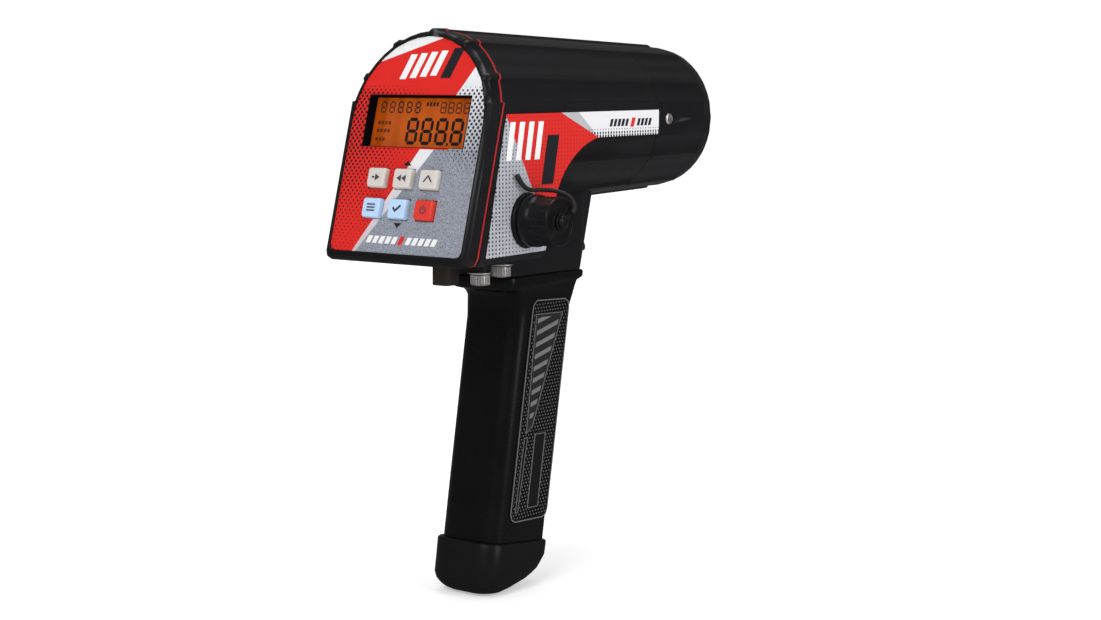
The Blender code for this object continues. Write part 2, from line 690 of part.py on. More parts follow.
# ---------------------------------------------------------------- side labels
# Y, Z on the flat side panel
SIDE_LABEL = [
    (64.0, 4.6), (47.6, -63.4), (95.8, -62.6), (96.6, -60.0), (104.6, -37.0), (106.4, -33.0),
    (108.6, -29.2), (111.3, -25.6), (114.4, -22.3), (118.5, -18.8), (122.7, -15.8),
    (127.0, -13.3), (131.8, -11.1), (137.8, -9.2), (143.0, -8.2), (199.2, -7.9), (199.2, 5.0)]
FILM_OUT = (CLEAR, 0.65)                     # inner and outer surface, out from the panel


def build_side_labels():
    for side, tag in SIDES:
        film = slabs(SIDE_LABEL, lambda y: tuple(side * (panel_half(y) + out) for out in FILM_OUT))
        label = make(f"side_label_{tag}", film, "label_film")
        if side == 1:
            subtract(label, make("cut_side_label_port", rod((0, 0, -5), (0, 0, 5), 13.7, 40),
                                 parent=connector_axis))


# ---------------------------------------------------------------- radar head and board
# radius, Y
HORN = [(9.0, 152.0), (33.0, 244.0), (33.4, 250.2), (31.4, 250.2), (31.4, 244.6), (7.4, 153.0),
        (7.4, 151.0), (14.0, 151.0), (14.0, 152.0)]
# half width of the square section, Y
MODULE = [(8, 108.0), (8, 118.0), (15, 118.0), (15, 150.6)]


def build_radar_head():
    turned("horn_antenna", HORN, "horn_aluminium", steps=28, rot=ALONG_Y, ring=True)
    square = ((-1, -1), (1, -1), (1, 1), (-1, 1))
    make("microwave_module", loft([[(x * half, y, z * half) for x, z in square]
                                   for half, y in MODULE]), "module_plated")
    make("main_board", box((-29, 80, -23.6), (29, 150, -22)), "circuit_board")


# ---------------------------------------------------------------- side connector and dust cap
# radius, height out of the wall
CONNECTOR_BODY = [(7.2, -9.0), (9.0, -9.0), (9.0, 0.3), (13.3, 0.3), (13.3, 2.0), (12.6, 2.7),
                  (8.8, 2.7), (8.8, 11.4), (8.2, 12.0), (7.2, 12.0)]
CONNECTOR_INSERT = [(0, -7.5), (6.85, -7.5), (6.85, 7.5), (0, 7.5)]
DUST_CAP = [(2.3, 20.0), (11.0, 20.0), (11.0, 20.6), (11.6, 20.6), (12.0, 20.0), (12.0, 9.2),
            (12.8, 8.4), (12.8, 3.8), (12.2, 3.2), (9.3, 3.2), (9.3, 14.4), (2.3, 14.4)]
CAP_SCREW = [(0, 10.4), (1.9, 10.4), (1.9, 21.8), (3.4, 21.8), (3.4, 22.6), (2.6, 23.4), (0, 23.7)]
FLUTES, FLUTE_AT_R = 16, 12.55
EYELET_R, EYELET_HOLE_R = 4.6, 2.3
EYELET_LOW, EYELET_HIGH = 20.9, 21.5
TAB_WAY = Vector((-0.45, 0.893, 0)).normalized()       # up and forward
TAB_STATIONS = ((3.6, 1.4), (7.4, 1.2))                # distance from the screw, half width
CORD_R = 1.1
# cord points as down, forward, out
CAP_CORD = [(-4.0, 7.9, 22.2), (-6.8, 9.9, 22.2), (-10.0, 11.2, 19.8), (-12.6, 10.6, 16.4)]
BODY_CORD = [(-13.8, 9.0, 12.8), (-14.4, 6.6, 9.4), (-14.7, 3.0, 6.2), (-14.6, -1.4, 4.6),
             (-15.6, -5.0, 3.6), (-18.6, -8.2, 3.0), (-22.2, -10.8, 2.6)]


def build_connector():
    turned("connector_body", CONNECTOR_BODY, "connector_black", 30, connector_axis, ring=True)
    turned("connector_insert", CONNECTOR_INSERT, "connector_insert", 24, connector_axis)


def build_dust_cap():
    cap = turned("dust_cap", DUST_CAP, "cap_black", 32, connector_axis, ring=True)
    flutes = bmesh.new()
    for i in range(FLUTES):
        t = 2 * pi * (i + 0.5) / FLUTES
        x, y = FLUTE_AT_R * cos(t), FLUTE_AT_R * sin(t)
        rod((x, y, 10.2), (x, y, 19.2), 0.85, 6, flutes)
    subtract(cap, make("cut_cap_flutes", flutes, parent=connector_axis))
    turned("cap_screw", CAP_SCREW, "steel_bright", 24, connector_axis)


def build_eyelet():
    circle = [(cos(2 * pi * i / 20), sin(2 * pi * i / 20)) for i in range(20)]
    section = ((EYELET_R, EYELET_LOW), (EYELET_R, EYELET_HIGH),
               (EYELET_HOLE_R, EYELET_HIGH), (EYELET_HOLE_R, EYELET_LOW))
    eyelet = make("cap_eyelet", loft([[(r * x, r * y, z) for x, y in circle] for r, z in section],
                                     loop=True), "steel_black_oxide", connector_axis)
    across = Vector((-TAB_WAY.y, TAB_WAY.x, 0))
    corners = ((1, EYELET_LOW), (-1, EYELET_LOW), (-1, EYELET_HIGH), (1, EYELET_HIGH))
    tab = loft([[TAB_WAY * reach + across * (side * half_w) + Vector((0, 0, z))
                 for side, z in corners] for reach, half_w in TAB_STATIONS])
    unite(eyelet, make("form_eyelet_tab", tab, parent=connector_axis))


def build_lanyard():
    for name, points in (("lanyard_cap_end", CAP_CORD), ("lanyard_body_end", BODY_CORD)):
        cord(name, smooth_path(points, 3), CORD_R, "cord_black", connector_axis)


# ---------------------------------------------------------------- handle
BOOT_SEAM_Z = -215.4
BOOT_SLOPE = -0.115          # the boot's seam drops towards the front
BOOT_PROUD, BOOT_HEEL = 1.8, 1.5
BOOT_BEND_BACK = 8.0         # the sole rises forward of this far behind the handle's middle

# top of the handle: rear Y, front Y, half width, rear and front corner radius, Z, slope in Y
HANDLE_TOP = [
    (99.6, 162.2, 19.6, 5.0, 3.0, NECK_BOTTOM - CLEAR, 0),
    (99.0, 163.0, 20.0, 5.5, 3.4, NECK_BOTTOM - 1.2, 0),
    (99.0, 162.6, 20.0, 6.0, 3.6, -83.3, 0.041),
    (104.8, 158.8, 19.5, 7.5, 4.2, -84.8, 0.045),
    (107.4, 156.2, 19.2, 8.4, 4.4, -89.5, 0)]
# lower boot: Z, rise towards the toe, rear and front from the handle's middle, half width
BOOT_SOLE = [
    (-231.0, 0.09, -25.0, 22.6, 20.4), (-236.4, 0.13, -22.4, 19.6, 18.6),
    (-239.7, 0.13, -18.0, 14.4, 15.2), (-AXIS_HEIGHT, 0, -12.6, 5.4, 10.4)]
# Y, Z
GRIP = [
    (117.4, -96.0), (118.6, -92.6), (121.8, -90.8), (145.4, -91.8), (148.6, -93.6),
    (149.4, -97.2), (130.8, -201.2), (129.2, -204.4), (126.0, -205.6), (103.0, -204.6),
    (99.8, -202.8), (98.9, -199.4)]
# outline growth, distance out from the handle's side
GRIP_LAYERS = [(0, -1.3), (0, 0.3), (-1.4, 1.0), (-3.2, 0.4)]
# radius, Z
JOINT_SCREW = [(0, -84.2), (2.9, -84.2), (2.9, -81.9), (1.4, -81.9), (1.4, -70.6), (0, -70.6)]


def mid(z):
    """Y of the handle's centreline."""
    return HANDLE_MID_Y + RAKE * (z - HANDLE_MID_Z)


def handle_section(z, grow=0.0, slope=0.0):
    """Section of the handle at height z on its centreline; slope tips the section's plane."""
    middle = mid(z)
    stretch = 1.0 / (1.0 - RAKE * slope)         # keeps the walls straight on a tipped section
    half_d = (HANDLE_HALF_D + grow) * stretch
    return rounded_section(middle - half_d, middle + half_d, HANDLE_HALF_W + grow,
                           HANDLE_R_REAR + grow, HANDLE_R_FRONT + grow,
                           lambda y: z + slope * (y - middle))


def boot_wall(z, grow, slope):
    """Section of the upper boot: proud of the handle, more so at the heel."""
    middle = mid(z)
    return rounded_section(middle - HANDLE_HALF_D - grow - BOOT_HEEL, middle + HANDLE_HALF_D + grow,
                           HANDLE_HALF_W + grow, HANDLE_R_REAR + grow, HANDLE_R_FRONT + grow,
                           lambda y: z + slope * (y - middle))


def boot_sole(z, rise, rear, front, half_w):
    """Section of the lower boot; rise lifts the toe."""
    middle = mid(z)
    return rounded_section(middle + rear, middle + front, half_w, min(9.5, half_w - 3), 7.0,
                           lambda y: z + rise * max(0.0, y - middle + BOOT_BEND_BACK))


def grip_outline(grow):
    """The grip outline moved outwards by grow in both Y and Z."""
    centre_z = sum(z for y, z in GRIP) / len(GRIP)
    return [(y + (grow if y > mid(z) else -grow), z + (grow if z > centre_z else -grow))
            for y, z in GRIP]


def build_handle():
    rings = [rounded_section(*row, lambda y: z + slope * (y - HANDLE_MID_Y))
             for *row, z, slope in HANDLE_TOP]
    rings += [rounded_section(mid(-100) - HANDLE_HALF_D, mid(-100) + 22.7, HANDLE_HALF_W,
                              HANDLE_R_REAR, HANDLE_R_FRONT, -100.0),
              handle_section(-112.0), handle_section(BOOT_SEAM_Z + CLEAR, 0, BOOT_SLOPE)]
    handle = make("handle_shell", loft(rings), "handle_black")
    core = [handle_section(z, -HANDLE_WALL) for z in (-81.6, -235.0)]
    subtract(handle, make("cut_handle_hollow", loft(core)))
    holes = bmesh.new()
    add_joint_holes(holes, -86, -76)
    subtract(handle, make("cut_handle_holes", holes))
    floor_x = HANDLE_HALF_W - 1.6
    subtract(handle, make("cut_grip_recess",
                          slabs(grip_outline(0.45), (floor_x, 26), (-26, -floor_x))))


def build_grip_panels():
    for side, tag in SIDES:
        rings = [[(side * (HANDLE_HALF_W + out), y, z) for y, z in grip_outline(grow)]
                 for grow, out in GRIP_LAYERS]
        make(f"grip_panel_{tag}", loft(rings), "grip_rubber")


def build_boot():
    rings = [boot_wall(BOOT_SEAM_Z, BOOT_PROUD - 0.6, BOOT_SLOPE),
             boot_wall(BOOT_SEAM_Z - 0.8, BOOT_PROUD, BOOT_SLOPE),
             boot_wall(-224.0, BOOT_PROUD, BOOT_SLOPE * 0.4)]
    boot = make("handle_boot", loft(rings + [boot_sole(*row) for row in BOOT_SOLE]), "boot_rubber")
    cup = [handle_section(z, -HANDLE_WALL) for z in (-200.0, -225.0)]
    subtract(boot, make("cut_boot_cup", loft(cup)))


# ---------------------------------------------------------------- cells and joint hardware
CELL_R, CELL_LEN = 9.0, 65.0
CELL_TOP, CELL_GAP = 5.0, 0.4                # up the handle axis
CELL_SHIFT = CELL_R + 0.25                   # forward or back from the handle axis


def build_cells():
    for column, y in (("front", CELL_SHIFT), ("rear", -CELL_SHIFT)):
        for level, row in enumerate(("upper", "lower")):
            top = CELL_TOP - level * (CELL_LEN + CELL_GAP)
            make(f"cell_{column}_{row}", rod((0, y, top - CELL_LEN), (0, y, top - 1.0), CELL_R),
                 "cell_wrap", handle_axis)
    stack_bottom = CELL_TOP - 2 * CELL_LEN - CELL_GAP
    for name, low, high in (("contact_plate_top", CELL_TOP + 0.4, CELL_TOP + 1.4),
                            ("contact_plate_bottom", stack_bottom - 2.0, stack_bottom - 0.6)):
        make(name, box((-7.5, -16.0, low), (7.5, 16.0, high)), "contact_brass", handle_axis)


def build_handle_joint():
    make("power_contact_block", box((-7.2, 120.0, -81.4), (7.2, 138.0, -71.0)), "connector_insert")
    for x, y in JOINT_SCREWS:
        end = "front" if y > HANDLE_MID_Y else "rear"
        side = "right" if x > 0 else "left"
        turned(f"handle_screw_{end}_{side}", JOINT_SCREW, "steel_bright", steps=12, loc=(x, y, 0))


# ---------------------------------------------------------------- trigger group
# Y, Z from the pivot
LEVER = [
    (-3.3, 0.6), (-2.2, 2.7), (0, 3.6), (2.6, 2.6), (3.6, 0), (3.8, -4.0), (4.2, -8.6),
    (5.2, -13.4), (6.8, -17.4), (8.6, -20.2), (9.2, -21.8), (8.6, -23.4), (7.0, -23.8),
    (4.4, -22.0), (1.6, -18.2), (-0.6, -13.4), (-2.0, -9.2), (-2.6, -5.0)]
TAIL = [(-0.6, -6.0), (-0.4, -9.4), (-11.0, -9.6), (-14.4, -8.8), (-14.4, -7.2), (-11.0, -6.8)]
COIL_R, COIL_LEN, COIL_STEPS, STEPS_PER_TURN = 2.15, 2.7, 20, 8


def build_trigger():
    trigger = make("trigger", slabs(LEVER, 4.9), "trigger_black", loc=TRIGGER_AT)
    subtract(trigger, make("cut_trigger_pin_hole", rod((-9, 0, 0), (9, 0, 0), PIN_HOLE_R, 20),
                           loc=TRIGGER_AT))
    subtract(trigger, make("cut_trigger_spring_slot", box((-2.2, -6.0, -3.2), (2.2, 6.0, 6.0)),
                           loc=TRIGGER_AT))
    unite(trigger, make("form_trigger_tail", slabs(TAIL, 2.4), loc=TRIGGER_AT))
    make("trigger_pin", rod((-8.8, 0, 0), (8.8, 0, 0), 1.2, 20), "steel_bright", loc=TRIGGER_AT)


def build_trigger_spring():
    coil = []
    for i in range(COIL_STEPS + 1):
        t = 2 * pi * i / STEPS_PER_TURN - pi * 0.5
        coil.append((-COIL_LEN / 2 + COIL_LEN * i / COIL_STEPS,
                     COIL_R * cos(t) + PIVOT_Y, COIL_R * sin(t) + PIVOT_Z))
    cord("trigger_spring", coil, 0.35, "steel_bright", barrel_axis)


def build_switch():
    switch = make("trigger_switch", box((-6.0, 140.5, -63.0), (6.0, 153.1, -50.0)), "switch_body")
    subtract(switch, make("cut_switch_pocket", box((-2.0, 150.5, -57.2), (2.0, 154.5, -52.8))))
    make("switch_plunger", box((-1.6, 152.3, -56.8), (1.6, 159.7, -53.2)), "key_red")


# ---------------------------------------------------------------- under the rear body
# radius, height; the shank's top is added for each screw
THUMB_HEAD = [(0, -14.0), (4.3, -14.0), (4.95, -13.4), (4.95, -9.2), (4.4, -8.6), (3.0, -8.6)]
THUMB_WASHER = [(3.35, -8.2), (6.4, -8.2), (6.4, -7.4), (3.35, -7.4)]
SHANK_R, SHANK_TOP = 3.0, 4.5
BLOCK_HALF = 5.3


def build_thumb_screws():
    for (x, y, up), tag in zip(THUMB_SCREWS, ("front", "rear")):
        loc = (x, y, up + THUMB_Z)
        profile = THUMB_HEAD + [(SHANK_R, SHANK_TOP - up), (0, SHANK_TOP - up)]
        turned(f"thumb_screw_{tag}", profile, "steel_bright", steps=24, loc=loc)
        turned(f"thumb_washer_{tag}", THUMB_WASHER, "steel_bright", steps=24, loc=loc, ring=True)


def build_socket_block():
    loc = (*BLOCK_AT, BOX_BOTTOM)
    shape = box((-BLOCK_HALF, -BLOCK_HALF, -13.3), (BLOCK_HALF, BLOCK_HALF, -0.35))
    bevel(shape, upright_edges(shape), 1.3, 1)
    block = make("tripod_socket_block", shape, "steel_black_oxide", loc=loc)
    unite(block, make("form_socket_stud", rod((0, 0, -2), (0, 0, 5), 3.0, 20), loc=loc))
    subtract(block, make("cut_socket_thread", rod((0, 0, -15), (0, 0, -4), 2.6, 20), loc=loc))


for build in (build_housing, build_nose_ring, build_radome, build_nose_screws,
              build_gasket, build_bezel, build_face_label, build_plates, build_keys,
              build_side_labels, build_radar_head,
              build_connector, build_dust_cap, build_eyelet, build_lanyard,
              build_handle, build_grip_panels, build_boot, build_cells, build_handle_joint,
              build_trigger, build_trigger_spring, build_switch,
              build_thumb_screws, build_socket_block):
    build()
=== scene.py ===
"""Looks for a hand-held radar gun.

The barrel lies along Y with its nose towards +Y. The rear face, with the display and keys,
looks towards -Y and slightly up. The handle hangs down -Z, and X is to the right as seen
from behind. Layout sizes are in millimetres: X right, Y along the barrel, Z from its centreline.
"""
import json
from math import atan, cos, hypot, pi, radians, sin

import bmesh
import bpy
import numpy as np
from mathutils import Matrix, Vector


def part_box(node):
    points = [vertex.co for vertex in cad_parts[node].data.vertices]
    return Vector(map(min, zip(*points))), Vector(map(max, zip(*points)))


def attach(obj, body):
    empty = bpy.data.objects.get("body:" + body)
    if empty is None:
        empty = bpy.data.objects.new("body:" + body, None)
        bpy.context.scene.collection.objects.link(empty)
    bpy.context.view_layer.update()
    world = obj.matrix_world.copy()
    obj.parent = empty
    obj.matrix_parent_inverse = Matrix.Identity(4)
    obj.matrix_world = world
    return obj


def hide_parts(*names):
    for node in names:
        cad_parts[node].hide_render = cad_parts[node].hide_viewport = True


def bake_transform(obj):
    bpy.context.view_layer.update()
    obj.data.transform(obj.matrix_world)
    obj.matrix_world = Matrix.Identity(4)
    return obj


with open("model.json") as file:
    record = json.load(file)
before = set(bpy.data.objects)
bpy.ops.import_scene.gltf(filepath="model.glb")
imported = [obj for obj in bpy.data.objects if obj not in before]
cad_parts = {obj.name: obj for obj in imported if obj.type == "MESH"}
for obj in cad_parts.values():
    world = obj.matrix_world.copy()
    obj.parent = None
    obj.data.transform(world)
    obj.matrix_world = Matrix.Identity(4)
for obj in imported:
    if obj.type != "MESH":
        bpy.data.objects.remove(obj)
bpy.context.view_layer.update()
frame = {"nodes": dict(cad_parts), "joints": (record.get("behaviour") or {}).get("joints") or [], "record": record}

# ---------------------------------------------------------------- driving dimensions
NOSE_Y = 257.0                 # front edge of the nose ring
FACE_Y = 50.55                 # rear face where it crosses the centreline
FACE_TILT = atan(0.2744)       # rear face from upright
SIDE_TAPER = 5.8 / 188.15      # each side panel's narrowing along Y
RAKE = 0.175                   # handle: Y per Z
HANDLE_Y, HANDLE_Z = 130.0, -92.0     # a point on the handle's centreline
HANDLE_HALF_WIDTH, HANDLE_HALF_DEPTH = 19.0, 22.0
HANDLE_R_REAR, HANDLE_R_FRONT = 9.0, 4.5
SIDES = ((1, "right"), (-1, "left"))

ring_low, ring_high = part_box("nose_ring")
AXIS = (ring_low.z + ring_high.z) / 2 * 1000     # height of the barrel's centreline
AHEAD = ring_high.y * 1000 - NOSE_Y              # layout origin along the frame's Y
TILT_SIN, TILT_COS = sin(FACE_TILT), cos(FACE_TILT)

BODY = {node: body for body, nodes in frame["record"]["behaviour"]["bodies"].items()
        for node in nodes}


def place(x, y, z):
    """Layout millimetres to metres in the frame."""
    return Vector((x, y + AHEAD, z + AXIS)) / 1000


def frame_of(origin, x_axis, y_axis, z_axis):
    matrix = Matrix.Identity(4)
    for i in range(3):
        matrix[i][:] = x_axis[i], y_axis[i], z_axis[i], origin[i]
    return matrix


FACE = frame_of(place(0, FACE_Y, 0), (1, 0, 0), (0, TILT_SIN, TILT_COS),
                (0, -TILT_COS, TILT_SIN))
taper_sin, taper_cos = sin(atan(SIDE_TAPER)), cos(atan(SIDE_TAPER))
cap_joint = next(j for j in frame["joints"] if j["name"] == "cap_turn")
SOCKET = frame_of(Vector(cap_joint["pos_m"]), (0, 0, -1), (-taper_sin, taper_cos, 0),
                  (taper_cos, taper_sin, 0))


def on_face(across, up, out):
    """Millimetres on the rear face to metres in the frame."""
    return FACE @ (Vector((across, up, out)) / 1000)


def on_socket(down, forward, out):
    """Millimetres about the dust cap's axis to metres in the frame."""
    return SOCKET @ (Vector((down, forward, out)) / 1000)


def face_box(node):
    """Corners of a CAD node in the rear face's frame, in mm."""
    to_face = FACE.inverted()
    points = [to_face @ v.co * 1000 for v in frame["nodes"][node].data.vertices]
    return [[pick(p[i] for p in points) for i in range(3)] for pick in (min, max)]


# ---------------------------------------------------------------- shader arithmetic
def feed(socket, value):
    """Set an input to a number or tuple, or link a value or socket to it."""
    if isinstance(value, Value):
        value = value.socket
    if isinstance(value, (int, float)):
        socket.default_value = value
    elif isinstance(value, tuple):
        socket.default_value = (*value, 1) if socket.type == "RGBA" else value
    else:
        Value.tree.links.new(value, socket)


def new_node(kind, inputs=None, **settings):
    node = Value.tree.nodes.new(kind)
    for key, setting in settings.items():
        setattr(node, key, setting)
    for key, value in (inputs or {}).items():
        feed(node.inputs[key], value)
    return node


def math_node(operation, *operands, clamp=False):
    node = new_node("ShaderNodeMath", dict(enumerate(operands)),
                    operation=operation, use_clamp=clamp)
    return Value(node.outputs[0])


def method(operation):
    return lambda self, *others: math_node(operation, self, *others)


class Value:
    """A value in the node tree being built, open to arithmetic."""
    tree = None

    def __init__(self, socket):
        self.socket = socket

    __add__ = method("ADD")
    __sub__ = method("SUBTRACT")
    __mul__ = method("MULTIPLY")
    __truediv__ = method("DIVIDE")
    max = method("MAXIMUM")
    pow = method("POWER")
    sin = method("SINE")
    frac = method("FRACT")
    sqrt = method("SQRT")
    abs = method("ABSOLUTE")

    def __rsub__(self, other):
        return math_node("SUBTRACT", other, self)

    def clamp(self):
        return math_node("ADD", self, 0.0, clamp=True)

    def edge(self, width=0.06):
        """0 below zero, 1 above, with a soft edge this wide."""
        return math_node("ADD", self / width, 0.5, clamp=True)

    def inv(self):
        return 1.0 - self


def object_vector():
    return new_node("ShaderNodeTexCoord").outputs["Object"]


def layout(vec, axes):
    """Layout coordinates in mm at the shaded point, for the named axes."""
    split = new_node("ShaderNodeSeparateXYZ", {0: vec})
    values = []
    for axis in axes:
        value = Value(split.outputs["xyz".index(axis)]) * 1000
        if axis != "x":
            value = value - {"y": AHEAD, "z": AXIS}[axis]
        values.append(value)
    return values


def up_face(y, z):
    return (y - FACE_Y) * TILT_SIN + z * TILT_COS


def mix(factor, a, b, blend="MIX"):
    return new_node("ShaderNodeMix", {0: factor, 6: a, 7: b},
                    data_type="RGBA", blend_type=blend).outputs[2]


def mix_shader(factor, a, b):
    """Blend two shaders into the material's output."""
    node = new_node("ShaderNodeMixShader", {0: factor, 1: a.outputs[0], 2: b.outputs[0]})
    feed(Value.tree.nodes["Material Output"].inputs[0], node.outputs[0])


def noise(vec, scale, detail, rough, stretch=None):
    if stretch:
        vec = new_node("ShaderNodeMapping", {0: vec, "Scale": stretch}).outputs[0]
    node = new_node("ShaderNodeTexNoise", {
        "Scale": scale, "Detail": detail, "Roughness": rough, "Vector": vec})
    return Value(node.outputs[0])


MATERIALS = {}


def new_material(name):
    """An empty material whose tree becomes the one being built. Returns its nodes."""
    made = bpy.data.materials.new(name)
    made.use_nodes = True
    MATERIALS[name] = made
    Value.tree = made.node_tree
    return made.node_tree.nodes


def material(name, rough, color=None, metal=0.0, grain=900.0, bump=0.04, vary=0.12,
             rough_vary=0.12, wear=0.0, wear_color=None, round_mm=0.0, coat=0.0,
             stretch=None, paint=None, spec=0.16):
    """Principled surface varying in colour, roughness and relief. Returns its shader.

    paint(vec) may give the base colour; bump and round_mm are in mm.
    """
    shader = new_material(name)["Principled BSDF"]
    vec = object_vector()
    cloud = noise(vec, scale=55.0, detail=4.0, rough=0.6)
    fine = noise(vec, scale=grain, detail=3.0, rough=0.6, stretch=stretch)
    if paint:
        tint = mix(cloud, (1 - vary,) * 3, (1.0, 1.0, 1.0))
        base = mix(1.0, paint(vec), tint, blend="MULTIPLY")
    else:
        dark = tuple(c * (1 - vary) for c in color)
        light = tuple(min(1.0, c * (1 + vary) + 0.002) for c in color)
        base = mix(cloud * 0.6 + fine * 0.4, dark, light)
    if wear:
        # convex edges, broken up by the grain
        geometry = new_node("ShaderNodeNewGeometry")
        ridge = ((Value(geometry.outputs["Pointiness"]) - 0.53) * 9.0).clamp()
        worn = ridge * (fine * 1.6 - 0.3).clamp() * wear
        base = mix(worn, base, wear_color or tuple(min(1, c * 2.4 + 0.03) for c in color))
    relief_node = new_node("ShaderNodeBump", {
        "Strength": 1.0, "Distance": bump / 1000, "Height": fine})
    if round_mm:
        bevel = new_node("ShaderNodeBevel", {"Radius": round_mm / 1000}, samples=4)
        feed(relief_node.inputs["Normal"], bevel.outputs[0])
    uneven = (cloud - 0.5) * rough_vary * 2 + (fine - 0.5) * rough_vary + rough
    for key, value in {
            "Base Color": base, "Roughness": uneven.clamp(), "Metallic": metal,
            "Specular IOR Level": spec, "Coat Weight": coat, "Coat Roughness": 0.18,
            "Normal": relief_node.outputs[0]}.items():
        feed(shader.inputs[key], value)
    return shader


# ---------------------------------------------------------------- printed art
RED, WHITE, INK = (0.62, 0.019, 0.015), (0.74, 0.74, 0.75), (0.010, 0.010, 0.012)


def left_of(start, end, x, y):
    """Signed distance in mm to the line from start to end; positive on its left."""
    dx, dy = end[0] - start[0], end[1] - start[1]
    length = hypot(dx, dy)
    return (y - start[1]) * (dx / length) - (x - start[0]) * (dy / length)


def halftone(x, y, pitch_x, pitch_y, radius, stagger=True):
    """Round dots on a grid; staggered ones have a second grid half a pitch off."""
    dots = None
    for shift in (0.0, 0.5) if stagger else (0.0,):
        u = ((x / pitch_x + shift).frac() - 0.5) * pitch_x
        v = ((y / pitch_y + shift).frac() - 0.5) * pitch_y
        layer = (radius - (u * u + v * v).sqrt()).edge(0.14)
        dots = layer if dots is None else dots.max(layer)
    return dots


def face_art(vec):
    """Red rear face with a pale slanting stripe, steel and grey fields, white top corner."""
    x, y, z = layout(vec, "xyz")
    s = up_face(y, z)
    speck = noise(vec, scale=1500.0, detail=2.0, rough=0.8)
    # masks: the sides of the stripe, below the display, the right edge, the top left
    low_top = -12.9
    left = left_of((-27.0, -64.4), (5.4, low_top), x, s).edge()
    right = left_of((14.3, low_top), (-24.6, -64.4), x, s).edge()
    low = (low_top - s).edge(0.1)
    beyond = left_of((31.7, 28.3), (23.5, 15.7), x, s).edge() * (s - 13.0).edge(0.1)
    beyond = beyond.max((x - 23.0).edge() * (15.7 - s).edge())
    corner = left_of((-31.8, 29.9), (7.8, 42.2), x, s).edge()
    # fields, each laid over the last; grey and stripe fade down the face
    steel = mix((speck - 0.30) * 2.3, (0.105, 0.118, 0.150), (0.40, 0.42, 0.48))
    grey = mix(((s - 24.0) / -44.0).clamp(), (0.72, 0.73, 0.76), steel)
    stripe = mix(((s + 20.0) / -44.0).clamp(), (0.70, 0.70, 0.72), (0.52, 0.44, 0.46))
    color = mix(beyond, RED, grey)
    color = mix(low * right, color, steel)
    color = mix(low * left.inv() * right.inv(), color, stripe)
    color = mix(corner, color, WHITE)
    # dots: they shrink away from the left edge and the right edge, and towards the ends
    grid = {"pitch_x": 2.9, "pitch_y": 3.3}
    size_left = ((1.0 - (x + 44.0) / 50.0).clamp().sqrt() * 0.92
                 * ((20.5 - s) / 5.0).clamp() * ((s + 98.0) / 84.0).clamp())
    dots_left = (halftone(x, s, radius=size_left - 0.06, **grid)
                 * left.max(low.inv()) * corner.inv() * beyond.inv())
    size_right = (((x + 12.0) / 52.0).clamp() * 0.86
                  * ((19.5 - s) / 3.0).clamp() * ((s + 34.0) / 26.0).clamp())
    dots_right = (halftone(x, s, radius=size_right - 0.05, **grid)
                  * beyond.max(low * right))
    return mix(dots_left.max(dots_right) * 0.95, color, INK)


def side_art(vec):
    """Side panel: steel at the rear, red in the middle, grey then pale towards the nose."""
    y, z = layout(vec, "yz")
    speck = noise(vec, scale=1500.0, detail=2.0, rough=0.8)
    # masks: forward of the red, forward of the grey, and behind the slanting rear cut
    past_red = left_of((141.6, -8.0), (108.5, 5.0), y, z).edge().inv()
    past_grey = left_of((137.2, -4.6), (124.4, 4.8), y, z).edge().inv()
    cut = (85.6, -33.0)
    rear = left_of(cut, (65.3, 1.0), y, z).edge()
    rear = rear.max(left_of((91.0, -52.0), cut, y, z).edge() * (cut[1] - z).edge(0.1))
    steel = mix((speck - 0.30) * 2.2, (0.24, 0.25, 0.28), (0.56, 0.57, 0.62))
    color = mix(past_red, RED, (0.42, 0.42, 0.45))
    color = mix(past_grey, color, (0.70, 0.70, 0.73))
    color = mix(rear, color, steel)
    # dots: growing rearwards on the steel, and downwards on the red and the front foot
    grid = {"pitch_x": 2.7, "pitch_y": 1.95, "stagger": False}
    size_steel = ((100.0 - y) / 44.0).clamp() * 0.50 + 0.10
    on_steel = halftone(y, z, radius=size_steel, **grid) * rear
    size_red = ((2.0 - z) / 26.0).clamp() * 0.14 + 0.30
    on_red = (halftone(y, z, radius=size_red, **grid)
              * (past_red.inv() * rear.inv()) * 0.72)
    size_foot = ((-2.2 - z) / 4.2).clamp() * 0.80
    foot = halftone(y, z, pitch_x=2.5, pitch_y=1.7, radius=size_foot,
                    stagger=False) * past_red
    return mix(on_steel.max(on_red).max(foot) * 0.95, color, INK)


def gasket_art(vec):
    """Red along the middle of the edge, black where it meets the shells."""
    low, high = face_box("rear_gasket")
    middle = (low[2] + high[2]) / 2
    half_band = 0.52
    y, z = layout(vec, "yz")
    out = z * TILT_SIN - (y - FACE_Y) * TILT_COS
    return mix((half_band - (out - middle).abs()).edge(0.10),
               (0.012, 0.011, 0.012), (0.40, 0.012, 0.014))


def grip_highlight_and_shade(vec):
    """Painted highlight and shade: raised parts grey, hollows left black, by height in mm."""
    [x] = layout(vec, "x")
    height = x.abs() - HANDLE_HALF_WIDTH
    low = mix(((height - 0.40) / 0.22).clamp(), (0.0022, 0.0022, 0.0026),
              (0.030, 0.030, 0.033))
    return mix(((height - 0.66) / 0.24).clamp(), low, (0.165, 0.162, 0.165))


# ---------------------------------------------------------------- materials
def paint_grazing_shade(shader, start, end, least):
    """Painted shade on the metal: base colour bright where it faces the eye, falling to least where it turns away.
    """
    base = shader.inputs["Base Color"]
    facing = new_node("ShaderNodeLayerWeight").outputs["Facing"]
    ramp = new_node("ShaderNodeMapRange", {
        "From Min": start, "From Max": end, "To Min": 1.0, "To Max": least, "Value": facing})
    times = new_node("ShaderNodeVectorMath", {
        0: base.links[0].from_socket, 1: ramp.outputs["Result"]}, operation="MULTIPLY")
    feed(base, times.outputs["Vector"])


